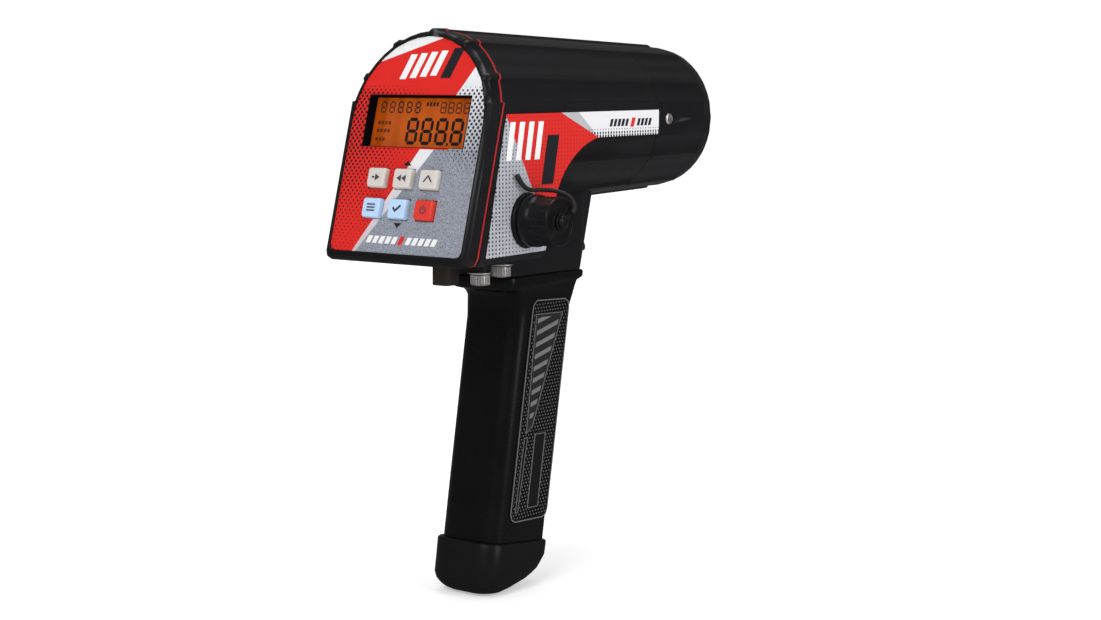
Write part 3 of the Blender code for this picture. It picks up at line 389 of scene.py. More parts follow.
def display_backlight():
    """Amber backlight with faint vertical bands, brighter in the middle."""
    shader = material("display_backlight", color=(0.09, 0.016, 0.001), rough=0.6,
                      grain=2400, bump=0.004, spec=0.02)
    vec = object_vector()
    x, y, z = layout(vec, "xyz")
    s = up_face(y, z)
    # wide and narrow bands, then the fall-off across and up the display
    band = (((x * 0.62).sin() * 0.5 + 0.5).pow(2.0) * 0.20
            + ((x * 1.9 + 1.0).sin() * 0.5 + 0.5) * 0.05)
    fall = (1.0 - ((x / 34.0) * (x / 34.0)) * 0.35
            - (((s - 0.8) / 14.0) * ((s - 0.8) / 14.0)) * 0.30)
    cloud = noise(vec, scale=140.0, detail=3.0, rough=0.5)
    level = ((fall - band) * (cloud * 0.3 + 0.85)).clamp()
    feed(shader.inputs["Emission Color"],
         mix(level, (0.14, 0.017, 0.001), (0.62, 0.112, 0.004)))
    feed(shader.inputs["Emission Strength"], 0.86)


def display_window():
    """Clear pane with a weak reflection that grows at grazing angles."""
    nodes = new_material("display_window")
    nodes.remove(nodes["Principled BSDF"])
    clear = new_node("ShaderNodeBsdfTransparent", {0: (0.97, 0.95, 0.92)})
    gloss = new_node("ShaderNodeBsdfGlossy", {"Roughness": 0.06})
    fresnel = Value(new_node("ShaderNodeLayerWeight").outputs["Fresnel"])
    mix_shader((fresnel * 0.10 + 0.002).clamp(), clear, gloss)


# body mouldings and labels
moulded = dict(grain=1500, bump=0.035, vary=0.25, rough_vary=0.10)
label = dict(grain=3000, bump=0.010, vary=0.05, rough_vary=0.06)
material("housing_black_moulded", color=(0.0062, 0.0062, 0.0072), rough=0.34,
         round_mm=0.7, wear=0.12, wear_color=(0.05, 0.05, 0.054), **moulded)
material("nose_ring_black_moulded", color=(0.0060, 0.0060, 0.0070), rough=0.33,
         round_mm=0.6, **moulded)
material("radome_fine_matte", color=(0.022, 0.022, 0.024), rough=0.62, grain=2200,
         bump=0.05, round_mm=0.6)
material("bezel_black", color=(0.0052, 0.0052, 0.0062), rough=0.29, grain=1700, bump=0.03,
         rough_vary=0.09, round_mm=0.5, wear=0.15, wear_color=(0.06, 0.06, 0.065))
material("gasket_red_rubber", rough=0.52, grain=1200, bump=0.05, round_mm=0.4,
         paint=gasket_art)
material("seal_rubber", color=(0.015, 0.015, 0.016), rough=0.7, grain=1100, bump=0.06)
material("face_label_print", rough=0.34, coat=0.06, paint=face_art, **label)
material("side_label_print", rough=0.32, coat=0.08, paint=side_art, **label)

# printed marks, display segments and keys
for name, color, vary in (("print_white", WHITE, 0.03),
                          ("print_dark", (0.014, 0.014, 0.018), 0.2),
                          ("print_red", RED, 0.05)):
    material(name, color=color, rough=0.36, grain=3000, bump=0.006, vary=vary)
for name, color in (("display_ink", (0.004, 0.002, 0.001)),
                    ("display_ink_thin", (0.045, 0.012, 0.003)),
                    ("display_ink_faint", (0.13, 0.034, 0.006))):
    material(name, color=color, rough=0.6, grain=2500, bump=0.003, vary=0.2, spec=0.05)
for name, color in (("key_warm_grey", (0.56, 0.52, 0.49)),
                    ("key_pale_blue", (0.42, 0.58, 0.80)),
                    ("key_red", (0.62, 0.035, 0.022))):
    material(name, color=color, rough=0.36, grain=1500, bump=0.012, vary=0.05, coat=0.2)
material("key_print", color=(0.05, 0.05, 0.07), rough=0.5, grain=1500, bump=0.004, vary=0.2)

# screws and socket
turned = dict(rough=0.28, grain=700, bump=0.02, rough_vary=0.14, stretch=(1, 1, 6))
# painted shade: the steel's base colour darkens where its surface turns away from the eye
paint_grazing_shade(material("screw_steel", color=(0.56, 0.54, 0.53), metal=0.55, round_mm=0.15,
                      **turned), start=0.10, end=0.62, least=0.10)
paint_grazing_shade(material("knurled_steel", color=(0.56, 0.535, 0.53), metal=0.50, **turned),
             start=0.10, end=0.58, least=0.07)
material("black_oxide_steel", color=(0.050, 0.038, 0.032), rough=0.40, metal=0.6, grain=800,
         bump=0.03, vary=0.3, rough_vary=0.16, round_mm=0.3, wear=0.4,
         wear_color=(0.13, 0.105, 0.09))
material("connector_anodised", color=(0.0080, 0.0080, 0.0092), rough=0.32, metal=0.3,
         grain=1400, bump=0.02, round_mm=0.3, wear=0.3, wear_color=(0.06, 0.06, 0.063))
material("cap_moulded", color=(0.0045, 0.0045, 0.0052), rough=0.28, grain=1300, bump=0.03,
         rough_vary=0.12, wear=0.3, wear_color=(0.05, 0.05, 0.055))
material("cord_braid", color=(0.016, 0.016, 0.018), rough=0.42, grain=2400, bump=0.12,
         vary=0.4, rough_vary=0.18)

# handle
material("handle_black_gloss", color=(0.0026, 0.0026, 0.0030), rough=0.27, grain=1600,
         bump=0.022, vary=0.25, rough_vary=0.09, wear=0.15, wear_color=(0.04, 0.04, 0.043))
# grip colour is painted highlight on the raised parts and painted shade in the hollows
material("grip_rubber", rough=0.46, grain=1500, bump=0.03, vary=0.25, rough_vary=0.14,
         paint=grip_highlight_and_shade)
material("boot_rubber", color=(0.0050, 0.0050, 0.0058), rough=0.36, grain=1400, bump=0.03,
         vary=0.25, rough_vary=0.12, wear=0.2)
material("trigger_black", color=(0.013, 0.013, 0.014), rough=0.38, grain=1400, bump=0.03,
         round_mm=0.9, wear=0.3)
# dead black with almost no gloss: painted shade in the display well and in slots
material("well_black", color=(0.003, 0.003, 0.0035), rough=0.75, grain=1500, bump=0.02,
         spec=0.03)

# inner pieces
material("board_green", color=(0.02, 0.13, 0.05), rough=0.4, grain=600, bump=0.03, vary=0.4)
material("contact_brass", color=(0.70, 0.50, 0.22), rough=0.3, metal=1.0, bump=0.02,
         rough_vary=0.15)
material("horn_aluminium", color=(0.72, 0.73, 0.75), rough=0.33, metal=1.0, grain=700,
         bump=0.02, rough_vary=0.15, stretch=(1, 8, 1))
material("cell_wrap", color=(0.06, 0.17, 0.42), rough=0.35, bump=0.02)
material("insert_black", color=(0.03, 0.03, 0.032), rough=0.55, grain=1200, bump=0.03)
display_backlight()
display_window()


# ---------------------------------------------------------------- mesh helpers
def shade_smooth(mesh, sharp=None):
    """Smooth shading, broken at edges over the sharp angle in degrees."""
    mesh.polygons.foreach_set("use_smooth", [True] * len(mesh.polygons))
    if sharp:
        mesh.set_sharp_from_angle(angle=radians(sharp))


def add_object(name, mesh, mat):
    ob = bpy.data.objects.new(name, mesh)
    bpy.context.scene.collection.objects.link(ob)
    mesh.materials.append(MATERIALS[mat])
    return ob


def show(name, verts, faces, mat, body="housing", sharp=32, like=None, smooth=True):
    """A new mesh riding a body; like names the CAD node it stands in for."""
    mesh = bpy.data.meshes.new(name)
    mesh.from_pydata([tuple(v) for v in verts], [], faces)
    mesh.validate()
    mesh.update()
    if smooth:
        shade_smooth(mesh, sharp)
    ob = add_object(name, mesh, mat)
    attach(ob, body)
    if like:
        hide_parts(like)
    return ob


def refine(node, mat, width=0.0, segments=2, angle=35, sharp=34):
    """A cleaned copy of a CAD node: flat regions made whole, edges rounded by width mm."""
    bm = bmesh.new()
    bm.from_mesh(frame["nodes"][node].data)
    bmesh.ops.remove_doubles(bm, verts=bm.verts, dist=2e-6)
    bmesh.ops.dissolve_limit(bm, angle_limit=radians(0.7), verts=bm.verts, edges=bm.edges)
    bmesh.ops.recalc_face_normals(bm, faces=bm.faces)
    if width:
        edges = [e for e in bm.edges if len(e.link_faces) == 2 and e.is_convex
                 and e.calc_face_angle(0) > radians(angle)]
        bmesh.ops.bevel(bm, geom=edges, offset=width / 1000, offset_type="OFFSET",
                        segments=segments, profile=0.5, affect="EDGES", clamp_overlap=True)
    mesh = bpy.data.meshes.new(node + "_look")
    bm.to_mesh(mesh)
    bm.free()
    shade_smooth(mesh, sharp)
    ob = add_object(node + "_look", mesh, mat)
    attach(ob, BODY[node])
    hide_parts(node)


def skin(rings, closed=False, caps=True):
    """Vertices and faces over rings of equal count; closed joins the last to the first."""
    n = len(rings[0])
    verts = [p for ring in rings for p in ring]
    faces = []
    for i in range(len(rings) - (0 if closed else 1)):
        a, b = i * n, ((i + 1) % len(rings)) * n
        faces += [(a + k, a + (k + 1) % n, b + (k + 1) % n, b + k) for k in range(n)]
    if caps and not closed:
        last = (len(rings) - 1) * n
        faces += [tuple(range(n))[::-1], tuple(range(last, last + n))]
    return verts, faces


def outward(ob):
    bm = bmesh.new()
    bm.from_mesh(ob.data)
    bmesh.ops.recalc_face_normals(bm, faces=bm.faces)
    bm.to_mesh(ob.data)
    bm.free()


def loft(name, rings, mat, closed=False, caps=True, **options):
    outward(show(name, *skin(rings, closed, caps), mat, **options))


def decal(name, polys, surface, mat, lift, thick=0.03, body="housing"):
    """Flat shapes on a surface(a, b, out), given a little thickness."""
    verts, faces = [], []
    for poly in polys:
        k, n = len(verts), len(poly)
        verts += [surface(a, b, out) for out in (lift, lift + thick) for a, b in poly]
        faces += [tuple(range(k, k + n))[::-1], tuple(range(k + n, k + 2 * n))]
        faces += [(k + i, k + (i + 1) % n, k + n + (i + 1) % n, k + n + i)
                  for i in range(n)]
    outward(show(name, verts, faces, mat, body, smooth=False))


def rounded(half_w, half_h, radius, steps, cx=0.0, cy=0.0):
    """Outline of a rectangle with round corners."""
    points = []
    for sx, sy, start in ((1, 1, 0), (-1, 1, 90), (-1, -1, 180), (1, -1, 270)):
        for i in range(steps + 1):
            a = radians(start + 90 * i / steps)
            points.append((cx + sx * (half_w - radius) + radius * cos(a),
                           cy + sy * (half_h - radius) + radius * sin(a)))
    return points


def bar(x, y, width, height, lean=0.0):
    """Parallelogram from its lower left corner; lean is its shift per unit of height."""
    shift = lean * height
    return [(x, y), (x + width, y), (x + width + shift, y + height), (x + shift, y + height)]


def bars(count, pitch, x, y, width, height, lean, climb=0.0):
    """A row of bars, each climb higher than the last."""
    return [bar(x + pitch * i, y + climb * i, width, height, lean) for i in range(count)]


# ---------------------------------------------------------------- body mouldings
refine("housing_shell", "housing_black_moulded", sharp=30)
refine("nose_ring", "nose_ring_black_moulded", sharp=30)
refine("rear_gasket", "gasket_red_rubber")
refine("rear_bezel", "bezel_black", sharp=40)
refine("face_label", "face_label_print")
refine("side_label_right", "side_label_print")
refine("side_label_left", "side_label_print")
refine("lcd_module", "display_backlight")
refine("lcd_window", "display_window")
refine("radome", "radome_fine_matte", width=0.6)
refine("connector_body", "connector_anodised", width=0.2, sharp=40)
refine("cap_eyelet", "connector_anodised", width=0.12)
refine("tripod_socket_block", "black_oxide_steel", width=0.45, segments=3)
refine("trigger", "trigger_black", width=0.9, segments=3, angle=40, sharp=50)

# ---------------------------------------------------------------- keys
KEY_HALF_WIDTH, KEY_HALF_HEIGHT = 5.7, 4.95
# skirt: out from the face, inset, corner radius
KEY_SKIRT = [(-4.0, 0.0, 1.1), (0.0, 0.0, 1.1)]
# dished top: drop below the key's top, inset, corner radius
KEY_TOP = [(1.25, 0.15, 1.15), (0.55, 0.32, 1.3), (0.18, 0.62, 1.4), (0.02, 1.05, 1.5),
           (0.03, 1.5, 1.5), (0.16, 2.6, 1.4), (0.22, 3.7, 0.9)]


def broken_ring(outer=1.95, inner=1.30, steps=20):
    """Quads round a ring that is open at the top."""
    angles = [radians(55 - 290 * i / steps) for i in range(steps + 1)]
    out, back = [[(r * cos(a), r * sin(a) - 0.1) for a in angles] for r in (outer, inner)]
    return [[out[i], out[i + 1], back[i + 1], back[i]] for i in range(steps)]


# key: its material and the outlines printed on it, from its centre
KEYS = {
    "key_top_left": ("key_warm_grey", [
        bar(-2.6, -0.4, 1.7, 0.8), [(-0.5, -1.7), (2.4, 0.0), (-0.5, 1.7)]]),
    "key_top_middle": ("key_warm_grey", [
        [(2.6, -1.7), (2.6, 1.7), (-0.2, 0.0)], [(-0.4, -1.7), (-0.4, 1.7), (-3.2, 0.0)]]),
    "key_top_right": ("key_warm_grey", [
        [(-3.0, -1.5), (-2.1, -1.5), (0.0, 1.0), (2.1, -1.5), (3.0, -1.5), (0.35, 1.9),
         (-0.35, 1.9)]]),
    "key_bottom_left": ("key_pale_blue", [
        bar(-2.6, y, 5.2, 0.7) for y in (-1.85, -0.35, 1.15)]),
    "key_bottom_middle": ("key_pale_blue", [
        [(-2.7, 0.1), (-1.9, 0.9), (-0.7, -0.4), (2.0, 2.0), (2.8, 1.2), (-0.7, -1.9)]]),
    "key_bottom_right": ("key_red", [bar(-0.4, 0.2, 0.8, 2.3)] + broken_ring()),
}


def build_key(key, mat, marks):
    low, high = face_box(key)
    cx, cy, top = (low[0] + high[0]) / 2, (low[1] + high[1]) / 2, high[2]
    stations = KEY_SKIRT + [(top - drop, inset, r) for drop, inset, r in KEY_TOP]
    rings = [[on_face(cx + a, cy + b, out) for a, b in
              rounded(KEY_HALF_WIDTH - inset, KEY_HALF_HEIGHT - inset, r, 7)]
             for out, inset, r in stations]
    loft(key + "_cap", rings, mat, body=key, sharp=50, like=key)
    decal(key + "_print", [[(cx + a, cy + b) for a, b in mark] for mark in marks],
          on_face, "key_print", lift=top - 0.17, thick=0.05, body=key)


for key, (mat, marks) in KEYS.items():
    build_key(key, mat, marks)

# ---------------------------------------------------------------- display
WELL_HALF_WIDTH, WELL_HALF_HEIGHT, WELL_UP = 32.35, 13.1, 0.8
# ends of the seven segments, in units of the digit's width and height
SEGMENTS = [((0, 1), (1, 1)), ((1, 1), (1, .5)), ((1, .5), (1, 0)), ((0, 0), (1, 0)),
            ((0, 0), (0, .5)), ((0, .5), (0, 1)), ((0, .5), (1, .5))]


def digits(starts, y, width, height, stroke):
    """All seven segments of a digit at each start x."""
    polys = []
    for x in starts:
        for (ax, ay), (bx, by) in SEGMENTS:
            p = Vector((ax * width, ay * height))
            q = Vector((bx * width, by * height))
            along = (q - p).normalized()
            side = Vector((-along.y, along.x)) * stroke / 2
            p += along * stroke * 0.14
            q -= along * stroke * 0.14
            point = along * stroke * 0.45
            outline = [p, p + point + side, q - point + side, q,
                       q - point - side, p + point - side]
            polys.append([(x + v.x, y + v.y) for v in reversed(outline)])
    return polys


def build_display():
    on_glass = face_box("lcd_module")[1][2] + 0.08
    large = digits((-10.5, -1.2, 8.2, 17.9), y=-8.4, width=5.8, height=11.8, stroke=1.75)
    large.append(bar(15.3, -9.3, 1.3, 1.3))
    decal("display_digits_large", large, on_face, "display_ink", on_glass, thick=0.06)
    small = digits([8.4 + i * 4.87 for i in range(4)],
                   y=6.9, width=3.1, height=5.0, stroke=0.66)
    small += bars(4, 2.1, x=-1.2, y=10.1, width=1.35, height=2.0, lean=0.1)
    decal("display_digits_small", small, on_face, "display_ink_thin", on_glass, thick=0.05)
    # a row of five on the left, of which the first two are dim
    for name, places, ink in (("side", range(2, 5), "display_ink_thin"),
                              ("dim", range(2), "display_ink_faint")):
        row = digits([-30.0 + i * 5.55 for i in places],
                     y=6.8, width=2.9, height=5.1, stroke=0.85)
        decal("display_digits_" + name, row, on_face, ink, on_glass, thick=0.04)
    marks = []
    for y, count in ((0.6, 4), (-3.4, 4), (-7.7, 3)):
        marks += bars(count, 2.3, x=-30.8, y=y, width=1.6, height=1.7, lean=0.05)
    decal("display_marks", marks, on_face, "display_ink_faint", on_glass, thick=0.04)


def build_well_liner():
    """Thin wall of painted shade round the display: loops down the outside and up the inside."""
    rings = []
    for inset, out in ((0.03, -5.5), (0.03, 0.42), (0.16, 0.42), (0.16, -5.5)):
        w, h = WELL_HALF_WIDTH - inset, WELL_HALF_HEIGHT - inset
        rings.append([on_face(a, WELL_UP + b, out)
                      for a, b in ((-w, -h), (w, -h), (w, h), (-w, h))])
    loft("window_well_shade_liner", rings, "well_black", closed=True, smooth=False)


build_display()
build_well_liner()


# ---------------------------------------------------------------- printed marks
def build_face_marks():
    over = face_box("face_label")[1][2] + 0.02
    strip = dict(y=-60.0, width=2.8, height=3.6, lean=0.4)
    for name, polys, mat in (
            ("bars_white", bars(4, 6.4, x=-15.5, y=21.8, width=4.0, height=12.5, lean=0.42,
                                climb=0.6), "print_white"),
            ("bars_dark", [bar(10.4, 22.4, 6.2, 15.0, 0.42)], "print_dark"),
            ("strip", bars(5, 4.0, x=-19.0, **strip) + bars(5, 4.0, x=6.0, **strip),
             "print_white"),
            ("strip_red", [bar(1.2, -60.4, 2.6, 4.4, 0.4)], "print_red"),
            ("arrows", [[(-3.2, -21.2), (1.8, -21.2), (-0.7, -18.7)],
                        [(-3.2, -49.6), (1.8, -49.6), (-0.7, -52.1)]], "print_dark")):
        decal("face_" + name, polys, on_face, mat, over)


def side_panel(sign):
    """Surface of a side label, from its widest point at the rear edge."""
    low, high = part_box("side_label_right")
    rear_y = low.y * 1000 - AHEAD

    def surface(y, z, out):
        x = high.x * 1000 - SIDE_TAPER * (y - rear_y) + out
        return place(sign * x, y, z)
    return surface


def build_side_marks(sign, tag):
    surface = side_panel(sign)
    strip = dict(y=-3.0, width=2.4, height=3.8, lean=0.4)
    for name, polys, mat in (
            ("bars_white", bars(4, 7.7, x=63.4, y=-17.6, width=4.2, height=18.4,
                                lean=3.6 / 18.4), "print_white"),
            ("bar_dark", [bar(92.2, -30.0, 10.0, 24.0, 0.225)], "print_dark"),
            ("strip", bars(5, 3.6, x=152.0, **strip) + bars(4, 3.6, x=177.6, **strip),
             "print_dark"),
            ("strip_red", [bar(171.4, -3.5, 3.4, 4.8, 0.4)], "print_red")):
        decal(f"side_{name}_{tag}", polys, surface, mat, 0.0)


build_face_marks()
for sign, tag in SIDES:
    build_side_marks(sign, tag)

# ---------------------------------------------------------------- dust cap, screw, cord
CAP_FLUTES = 16
CAP_FLUTE_DEPTH = 0.40
CAP_RIBS, CAP_RIB_DEPTH = 64, 0.14
# radius, height, share of the flute depth
CAP_PROFILE = [
    (9.35, 3.25, 0), (12.0, 3.25, 0), (12.5, 3.45, 0), (12.78, 3.9, 0), (12.8, 6.0, 0),
    (12.8, 7.9, 0), (12.55, 8.4, 0), (12.1, 8.9, 0), (12.0, 9.6, .25), (12.0, 10.3, .8),
    (12.0, 11.0, 1), (12.0, 14.5, 1), (12.0, 18.0, 1), (12.0, 18.8, .75), (12.0, 19.3, .2),
    (11.95, 19.8, 0), (11.75, 20.25, 0), (11.4, 20.55, 0), (11.05, 20.5, 0),
    (10.8, 20.1, 0), (10.4, 19.98, 0), (7.6, 19.98, 0), (7.3, 19.86, 0), (5.2, 19.86, 0),
    (5.0, 20.0, 0), (2.35, 20.0, 0)]
# radius, height
SCREW_PROFILE = [(1.9, 12.0), (1.9, 21.8), (3.3, 21.8), (3.4, 21.9), (3.4, 22.5),
                 (3.2, 22.9), (2.6, 23.3), (1.6, 23.58), (0.02, 23.68)]
# down, forward, out from the cap's axis
CORD_POINTS = [
    (-22.2, -10.8, 2.4), (-18.6, -8.2, 3.0), (-15.9, -5.0, 3.7), (-14.9, -1.4, 4.6),
    (-14.9, 3.0, 6.2), (-14.6, 6.6, 9.4), (-13.9, 9.0, 12.8), (-12.6, 10.5, 16.4),
    (-10.0, 10.9, 19.8), (-6.8, 9.6, 21.9), (-4.0, 7.6, 22.1)]


def build_dust_cap():
    """Cap with finely ribbed base flange and fluted barrel."""
    n = CAP_FLUTES * 12
    rings = []
    for radius, z, share in CAP_PROFILE:
        ribbed = 3.9 < z < 8.0 and share == 0
        ring = []
        for i in range(n):
            a = 2 * pi * i / n
            phase = (i * CAP_FLUTES / n) % 1.0 - 0.5
            dip = max(0.0, cos(pi * phase / 0.62)) if abs(phase) < 0.31 else 0.0
            rib = 0.5 + 0.5 * cos(2 * pi * i * CAP_RIBS / n) if ribbed else 0.0
            r = radius - CAP_FLUTE_DEPTH * share * dip - CAP_RIB_DEPTH * rib
            ring.append(on_socket(r * cos(a), r * sin(a), z))
        rings.append(ring)
    loft("dust_cap_moulding", rings, "cap_moulded", caps=False, body="dust_cap", sharp=42,
         like="dust_cap")


def build_cap_screw():
    n = 64
    rings = [[on_socket(r * cos(2 * pi * i / n), r * sin(2 * pi * i / n), z)
              for i in range(n)] for r, z in SCREW_PROFILE]
    loft("cap_screw_head", rings, "connector_anodised", body=BODY["cap_screw"], sharp=38,
         like="cap_screw")

    def turned_slot(a, b, out):
        return on_socket(a * 0.8 + b * 0.6, -a * 0.6 + b * 0.8, out)
    # painted shade: a flat dead-black plate on the head stands for the shaded slot
    decal("cap_screw_slot_shade", [rounded(1.9, 0.36, 0.2, 3)], turned_slot, "well_black",
          lift=23.38, thick=0.25, body="dust_cap")


def catmull_rom(points, steps):
    points = [Vector(p) for p in points]
    points = [points[0] * 2 - points[1]] + points + [points[-1] * 2 - points[-2]]
    path = []
    for i in range(1, len(points) - 2):
        p0, p1, p2, p3 = points[i - 1:i + 3]
        for k in range(steps):
            t = k / steps
            path.append(0.5 * ((2 * p1) + (p2 - p0) * t
                               + (2 * p0 - 5 * p1 + 4 * p2 - p3) * t * t
                               + (3 * p1 - p0 - 3 * p2 + p3) * t ** 3))
    return path + [points[-2]]


def build_cord():
    """Braided cord from the body to the cap, thicker at the body end."""
    radius, extra, taper_steps, braid = 1.04, 0.34, 34.0, 0.05
    path = catmull_rom(CORD_POINTS, 14)
    rings, side = [], Vector((0.3, 0.2, 1.0))
    for i, p in enumerate(path):
        along = (path[min(i + 1, len(path) - 1)] - path[max(i - 1, 0)]).normalized()
        side = (side - along * side.dot(along)).normalized()
        up = along.cross(side)
        thick = radius + extra * max(0.0, 1.0 - i / taper_steps)
        ring = []
        for k in range(16):
            a = 2 * pi * k / 16
            r = thick + braid * sin(4 * a + i * 0.9) + braid * sin(-4 * a + i * 0.9)
            ring.append(on_socket(*(p + side * (r * cos(a)) + up * (r * sin(a)))))
        rings.append(ring)
    verts, faces = skin(rings)
    mesh = bpy.data.meshes.new("lanyard_cord")
    mesh.from_pydata([tuple(v) for v in verts], [], faces)
    shade_smooth(mesh)
    cord = add_object("lanyard_cord", mesh, "cord_braid")
    outward(cord)
    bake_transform(cord)
    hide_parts("lanyard_cap_end", "lanyard_body_end")


build_dust_cap()
build_cap_screw()
build_cord()

# ---------------------------------------------------------------- thumb and nose screws
THUMB_HEAD_HEIGHT = 5.4
KNURL_DEPTH = 0.46


def build_thumb_screw(tag):
    """Screw with its knurled head at the bottom."""
    node = f"thumb_screw_{tag}"
    low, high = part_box(node)
    cx, cy = (low.x + high.x) / 2 * 1000, (low.y + high.y) / 2 * 1000
    bottom, top = low.z * 1000, high.z * 1000
    head = bottom + THUMB_HEAD_HEIGHT
    n = 144
    # radius, z, whether knurled
    profile = [(2.95, top, 0), (2.95, head + 0.1, 0), (4.5, head, 0), (4.85, head - 0.15, 0),
               (4.88, head - 0.5, 1), (4.88, head - 2.5, 1), (4.88, bottom + 0.7, 1),
               (4.85, bottom + 0.35, 0), (4.5, bottom + 0.05, 0), (2.6, bottom + 0.02, 0),
               (2.3, bottom + 0.25, 0), (0.05, bottom + 0.25, 0)]
    rings = []
    for radius, z, knurled in profile:
        ring = []
        for i in range(n):
            a = 2 * pi * i / n
            r = radius - knurled * KNURL_DEPTH * (i % 6 > 2)
            ring.append(Vector((cx + r * cos(a), cy + r * sin(a), z)) / 1000)
        rings.append(ring)
    loft(node + "_knurled", rings, "knurled_steel", body=BODY[node], sharp=20, like=node)


for tag in ("front", "rear"):
    build_thumb_screw(tag)
    refine(f"thumb_washer_{tag}", "screw_steel", width=0.15)
for _, tag in SIDES:
    refine(f"nose_screw_{tag}", "screw_steel", width=0.1)


# ---------------------------------------------------------------- handle and boot
def handle_mid(z):
    """Y of the raked handle's centreline."""
    return HANDLE_Y + RAKE * (z - HANDLE_Z)


# upper collar: rear y, front y, half width, rear radius, front radius, z, z per y
COLLAR = [
    (99.9, 161.9, 19.3, 5.0, 3.0, -78.32, 0), (99.2, 162.7, 19.85, 5.4, 3.3, -78.8, 0),
    (99.0, 163.0, 20.0, 5.5, 3.4, -79.4, 0), (99.0, 162.9, 20.0, 5.8, 3.5, -82.6, 0.041),
    (99.5, 162.2, 19.9, 6.1, 3.6, -83.5, 0.042),
    (101.8, 160.6, 19.6, 6.8, 3.9, -84.2, 0.044),
    (104.8, 158.8, 19.5, 7.5, 4.2, -84.9, 0.045),
    (106.3, 157.3, 19.35, 8.0, 4.3, -87.0, 0.02), (107.4, 156.2, 19.2, 8.4, 4.4, -89.5, 0),
    (handle_mid(-100) - HANDLE_HALF_DEPTH, handle_mid(-100) + 22.7, HANDLE_HALF_WIDTH,
     HANDLE_R_REAR, HANDLE_R_FRONT, -100.0, 0)]
# plain handle: z, z per y
STOCK = [(-112.0, 0), (-150.0, 0), (-190.0, 0), (-215.1, -0.115)]
# boot round the handle: z, growth over the handle, z per y
BOOT_TOP = [(-215.4, 1.0, -0.115), (-215.75, 1.55, -0.115), (-216.4, 1.8, -0.115),
            (-224.0, 1.8, -0.046)]
# boot's rounded foot: z, rise towards the front, rear and front from the centreline, half width
BOOT_FOOT = [
    (-231.0, 0.09, -25.0, 22.6, 20.4), (-234.2, 0.115, -23.9, 21.3, 19.7),
    (-236.7, 0.13, -22.0, 19.2, 18.3), (-238.5, 0.13, -20.0, 16.8, 16.8),
    (-239.8, 0.13, -17.6, 14.0, 15.0), (-240.7, 0.05, -14.8, 9.0, 12.6),
    (-241.0, 0, -12.6, 5.4, 10.4)]


def section(y_rear, y_front, half_width, r_rear, r_front, z_at, steps=9):
    """Ring with round corners; z_at(y) gives its height."""
    front, rear = y_front - r_front, y_rear + r_rear
    ring = []
    for sx, cy, r, start in ((1, front, r_front, 0), (-1, front, r_front, 90),
                             (-1, rear, r_rear, 180), (1, rear, r_rear, 270)):
        for i in range(steps + 1):
            a = radians(start + 90 * i / steps)
            y = cy + r * sin(a)
            ring.append(place(sx * (half_width - r) + r * cos(a), y, z_at(y)))
    return ring


def sloped(z, slope, pivot):
    return lambda y: z + slope * (y - pivot)


def build_handle():
    rings = [section(*sizes, sloped(z, slope, HANDLE_Y)) for *sizes, z, slope in COLLAR]
    for z, slope in STOCK:
        middle = handle_mid(z)
        reach = HANDLE_HALF_DEPTH / (1.0 - RAKE * slope)
        rings.append(section(middle - reach, middle + reach, HANDLE_HALF_WIDTH,
                             HANDLE_R_REAR, HANDLE_R_FRONT, sloped(z, slope, middle)))
    loft("handle_moulding", rings, "handle_black_gloss", sharp=46, like="handle_shell")


def build_boot():
    rings = []
    for z, grow, slope in BOOT_TOP:
        middle = handle_mid(z)
        reach = HANDLE_HALF_DEPTH + grow
        rings.append(section(middle - reach - 1.5, middle + reach, HANDLE_HALF_WIDTH + grow,
                             HANDLE_R_REAR + grow, HANDLE_R_FRONT + grow,
                             sloped(z, slope, middle)))
    for z, rise, rear, front, half_width in BOOT_FOOT:
        middle = handle_mid(z)

        def lifted(y):
            return z + rise * max(0.0, y - middle + 8.0)
        rings.append(section(middle + rear, middle + front, half_width,
                             min(9.5, half_width - 3), 7.0, lifted))
    loft("boot_moulding", rings, "boot_rubber", sharp=60, like="handle_boot")


def build_collar_slot(sign, tag):
    """Painted shade: flat dead-black plates for a small slot and round dot in the side of the collar."""
    decal(f"collar_slot_shade_{tag}",
          [rounded(3.6, 0.55, 0.5, 4, 121.0, -83.0), rounded(0.6, 0.6, 0.58, 4, 127.6, -82.4)],
          lambda y, z, out: place(sign * out, y, z), "well_black", lift=19.78, thick=0.14)


build_handle()
build_boot()
for sign, tag in SIDES:
    build_collar_slot(sign, tag)

# ---------------------------------------------------------------- grip panels
# convex outlines on the handle's side: y, z
GRIP_OUTLINE = [
    (117.4, -96.0), (118.6, -92.6), (121.8, -90.8), (145.4, -91.8), (148.6, -93.6),
    (149.4, -97.2), (130.8, -201.2), (129.2, -204.4), (126.0, -205.6), (103.0, -204.6),
    (99.8, -202.8), (98.9, -199.4)]
WEDGE = [(121.0, -98.6), (143.2, -99.2), (117.6, -156.0), (112.4, -159.5)]
THIN_STRIP = [(111.0, -161.5), (113.6, -161.5), (105.2, -199.4), (103.2, -199.4)]
PLATE = [(119.8, -160.6), (128.6, -161.0), (121.9, -198.6), (113.2, -198.2)]
# sample grid: rows down from the top, columns across the centreline
GRIP_ROWS, GRIP_TOP, GRIP_HEIGHT = 620, -90.6, 115.2
GRIP_COLUMNS, GRIP_REAR, GRIP_DEPTH = 190, -13.9, 33.6
# small bumps, in staggered rows
BUMP_ROW_PITCH, BUMP_PITCH = 1.75, 2.3
BUMP_HALF_HEIGHT, BUMP_HALF_WIDTH = 0.62, 0.50
# slanting ribs in the wedge
RIB_PITCH, RIB_HALF_WIDTH = 6.13, 1.32


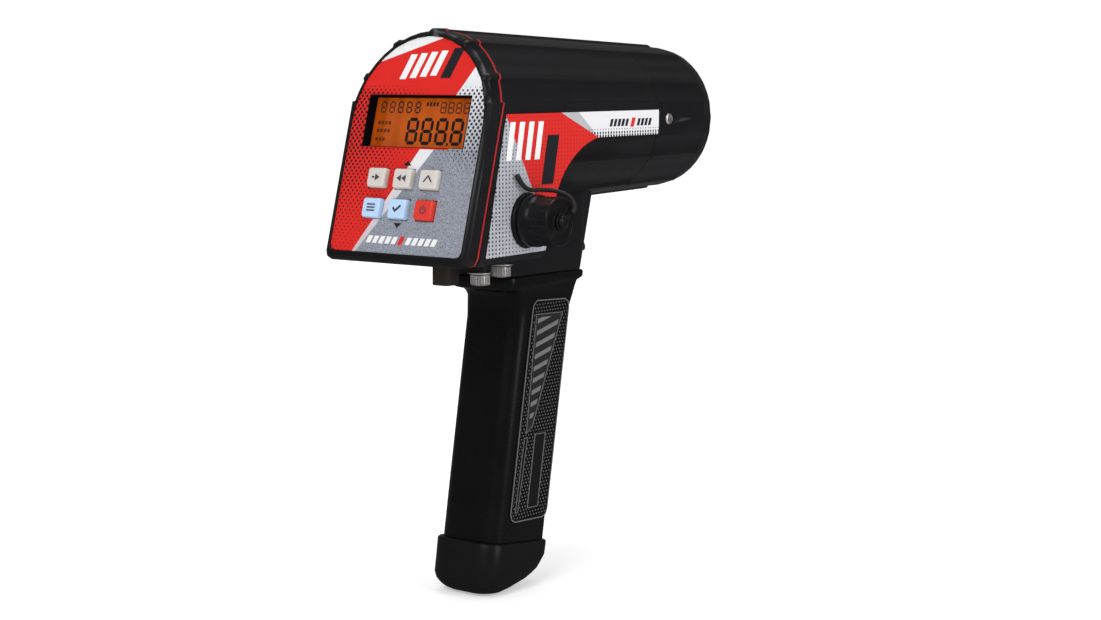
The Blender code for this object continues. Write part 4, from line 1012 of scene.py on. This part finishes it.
def inside(outline, y, z):
    """Distance inside a convex outline, in mm, over arrays."""
    distance = np.full(y.shape, 1e9)
    cy, cz = np.mean([p[0] for p in outline]), np.mean([p[1] for p in outline])
    for (ay, az), (by, bz) in zip(outline, outline[1:] + outline[:1]):
        ny, nz = bz - az, -(by - ay)
        from_edge = ((y - ay) * ny + (z - az) * nz) / hypot(ny, nz)
        if (cy - ay) * ny + (cz - az) * nz < 0:
            from_edge = -from_edge
        distance = np.minimum(distance, from_edge)
    return distance


def step(value, width):
    """Smooth step from 0 to 1, centred on zero."""
    t = np.clip(value / width * 0.5 + 0.5, 0, 1)
    return t * t * (3 - 2 * t)


def off_nearest(value, pitch):
    return value - np.round(value / pitch) * pitch


def relief(y, z, edge):
    """Height of the grip over the handle's side, in mm; edge is the distance inside."""
    # raised border, then the sunken field
    height = 0.26 + 0.70 * step(edge - 0.30, 0.25) - 0.64 * step(edge - 1.05, 0.25)
    field = step(edge - 1.75, 0.2)
    down, across = -(z - HANDLE_Z), y - handle_mid(z)
    wedge, thin, plate = (inside(shape, y, z) for shape in (WEDGE, THIN_STRIP, PLATE))
    solid = np.maximum(np.maximum(step(wedge + 0.5, 0.2), step(thin + 0.45, 0.2)),
                       step(plate + 0.45, 0.2))
    # bumps over the field, clear of the three shapes
    rows = np.round(down / BUMP_ROW_PITCH)
    off_down = down - rows * BUMP_ROW_PITCH
    off_across = off_nearest(across + (rows % 2) * BUMP_PITCH / 2, BUMP_PITCH)
    bump = np.clip(1 - ((off_down / BUMP_HALF_HEIGHT) ** 2
                        + (off_across / BUMP_HALF_WIDTH) ** 2), 0, 1)
    height = height + 0.62 * np.sqrt(bump) * field * (1 - solid)
    # raised rims round the shapes, and their floors
    rim = sum(np.exp(-((shape - 0.05) / width) ** 2)
              for shape, width in ((wedge, 0.34), (thin, 0.30), (plate, 0.32)))
    floors = 0.22 * step(wedge - 0.35, 0.2) + 0.12 * step(plate - 0.4, 0.2)
    height = np.maximum(height + floors, 0.32 + 0.66 * np.clip(rim, 0, 1))
    off_rib = np.abs(off_nearest(down + 0.25 * across - 2.64, RIB_PITCH))
    ribs = step(RIB_HALF_WIDTH - off_rib, 0.30)
    height = np.maximum(height, (0.36 + 0.58 * ribs) * step(wedge - 1.45, 0.30))
    return np.clip(height, -0.2, 0.97)


def build_grips():
    z, across = np.meshgrid(GRIP_TOP - np.linspace(0, 1, GRIP_ROWS) * GRIP_HEIGHT,
                            GRIP_REAR + np.linspace(0, 1, GRIP_COLUMNS) * GRIP_DEPTH,
                            indexing="ij")
    y = handle_mid(z) + across
    edge = inside(GRIP_OUTLINE, y, z)
    height = relief(y, z, edge)
    keep = edge > -0.02
    index = np.full(y.shape, -1)
    index[keep] = np.arange(keep.sum())
    quads = []
    for i in range(GRIP_ROWS - 1):
        for j in range(GRIP_COLUMNS - 1):
            quad = (index[i, j], index[i, j + 1], index[i + 1, j + 1], index[i + 1, j])
            if min(quad) >= 0:
                quads.append(quad)
    for sign, tag in SIDES:
        verts = [place(sign * (HANDLE_HALF_WIDTH + height[i, j]), y[i, j], z[i, j])
                 for i, j in np.argwhere(keep)]
        faces = [quad if sign > 0 else quad[::-1] for quad in quads]
        # skirt from the panel's edge into the handle
        k, n = len(verts), len(GRIP_OUTLINE)
        verts += [place(sign * x, *point) for x in (19.26, 17.8) for point in GRIP_OUTLINE]
        faces += [(k + i, k + (i + 1) % n, k + n + (i + 1) % n, k + n + i)
                  for i in range(n)]
        show(f"grip_relief_{tag}", verts, faces, "grip_rubber", sharp=70,
             like=f"grip_panel_{tag}")


build_grips()

# ---------------------------------------------------------------- CAD pieces kept as they are
KEPT = {
    "seal_rubber": "radome_seal keypad_mat",
    "board_green": "display_board keypad_board main_board",
    "horn_aluminium": "horn_antenna",
    "contact_brass": "microwave_module contact_plate_top contact_plate_bottom",
    "insert_black": "connector_insert power_contact_block trigger_switch",
    "cell_wrap": "cell_front_upper cell_front_lower cell_rear_upper cell_rear_lower",
    "screw_steel": "handle_screw_front_left handle_screw_front_right handle_screw_rear_left "
                   "handle_screw_rear_right trigger_pin trigger_spring",
    "key_red": "switch_plunger",
}
for mat, nodes in KEPT.items():
    for node in nodes.split():
        slots = frame["nodes"][node].data.materials
        slots.clear()
        slots.append(MATERIALS[mat])


# ---------------------------------------------------------------- floor, light, camera
def build_floor():
    """Pale glowing floor, brighter far out, that looks dark in reflections."""
    shader = material("floor_pale", color=(0.86, 0.86, 0.86), rough=0.75, grain=40,
                      bump=0.01, vary=0.01, rough_vary=0.04)
    x, y = layout(object_vector(), "xy")
    radius = (x * x + (y + AHEAD) * (y + AHEAD)).sqrt()
    far = ((radius - 350.0) / 1500.0).clamp()
    feed(shader.inputs["Emission Color"], (1.0, 1.0, 1.0))
    feed(shader.inputs["Emission Strength"], far * 0.38 + 0.40)
    dark = new_node("ShaderNodeBsdfDiffuse", {0: (0.16, 0.16, 0.165)})
    mix_shader(new_node("ShaderNodeLightPath").outputs["Is Glossy Ray"], shader, dark)
    mesh = bpy.data.meshes.new("floor")
    half = 40
    mesh.from_pydata([(-half, -half, 0), (half, -half, 0), (half, half, 0), (-half, half, 0)],
                     [], [(0, 1, 2, 3)])
    add_object("floor", mesh, "floor_pale")


def build_world():
    """White to the camera, dim in reflections, moderate as fill light."""
    in_reflections, as_fill = 0.13, 0.42
    world = bpy.data.worlds.new("studio")
    scene.world = world
    world.use_nodes = True
    Value.tree = world.node_tree
    path = new_node("ShaderNodeLightPath")
    seen, shiny = (Value(path.outputs[f"Is {ray} Ray"]) for ray in ("Camera", "Glossy"))
    level = seen * 1.0 + seen.inv() * (shiny * in_reflections + shiny.inv() * as_fill)
    background = world.node_tree.nodes["Background"]
    feed(background.inputs[0], (1.0, 1.0, 1.0))
    feed(background.inputs[1], level)


def lamp(name, at, aim, size, power, size_y=None):
    light = bpy.data.lights.new(name, "AREA")
    light.energy, light.size = power, size
    if size_y:
        light.shape, light.size_y = "RECTANGLE", size_y
    ob = bpy.data.objects.new(name, light)
    scene.collection.objects.link(ob)
    ob.location = at
    ob.rotation_euler = (Vector(aim) - Vector(at)).to_track_quat("-Z", "Y").to_euler()


def build_camera():
    """View from behind, on the right, just above the barrel's centreline."""
    camera = bpy.data.cameras.new("view")
    ob = bpy.data.objects.new("view", camera)
    scene.collection.objects.link(ob)
    ob.matrix_world = frame_of(
        origin=(0.638784, -0.788558, (AXIS + 23.549) / 1000),
        x_axis=(0.797384, 0.603469, 0.001919),
        y_axis=(-0.072173, 0.092206, 0.993121),
        z_axis=(0.59914, -0.792038, 0.117078))
    camera.sensor_width, camera.lens = 36, 65.395095
    camera.clip_start = 0.01
    scene.camera = ob


scene = bpy.context.scene
build_floor()
scene.view_settings.view_transform = "Standard"
build_world()
lamp("key", at=(0.35, -1.3, 1.15), aim=(0, 0, 0.2), size=0.9, power=12.5)
lamp("side", at=(1.5, 0.1, 0.65), aim=(0, 0.05, 0.2), size=0.5, power=9, size_y=1.1)
lamp("top", at=(-0.1, 0.2, 1.5), aim=(0, 0.05, 0.25), size=0.8, power=9)
build_camera()
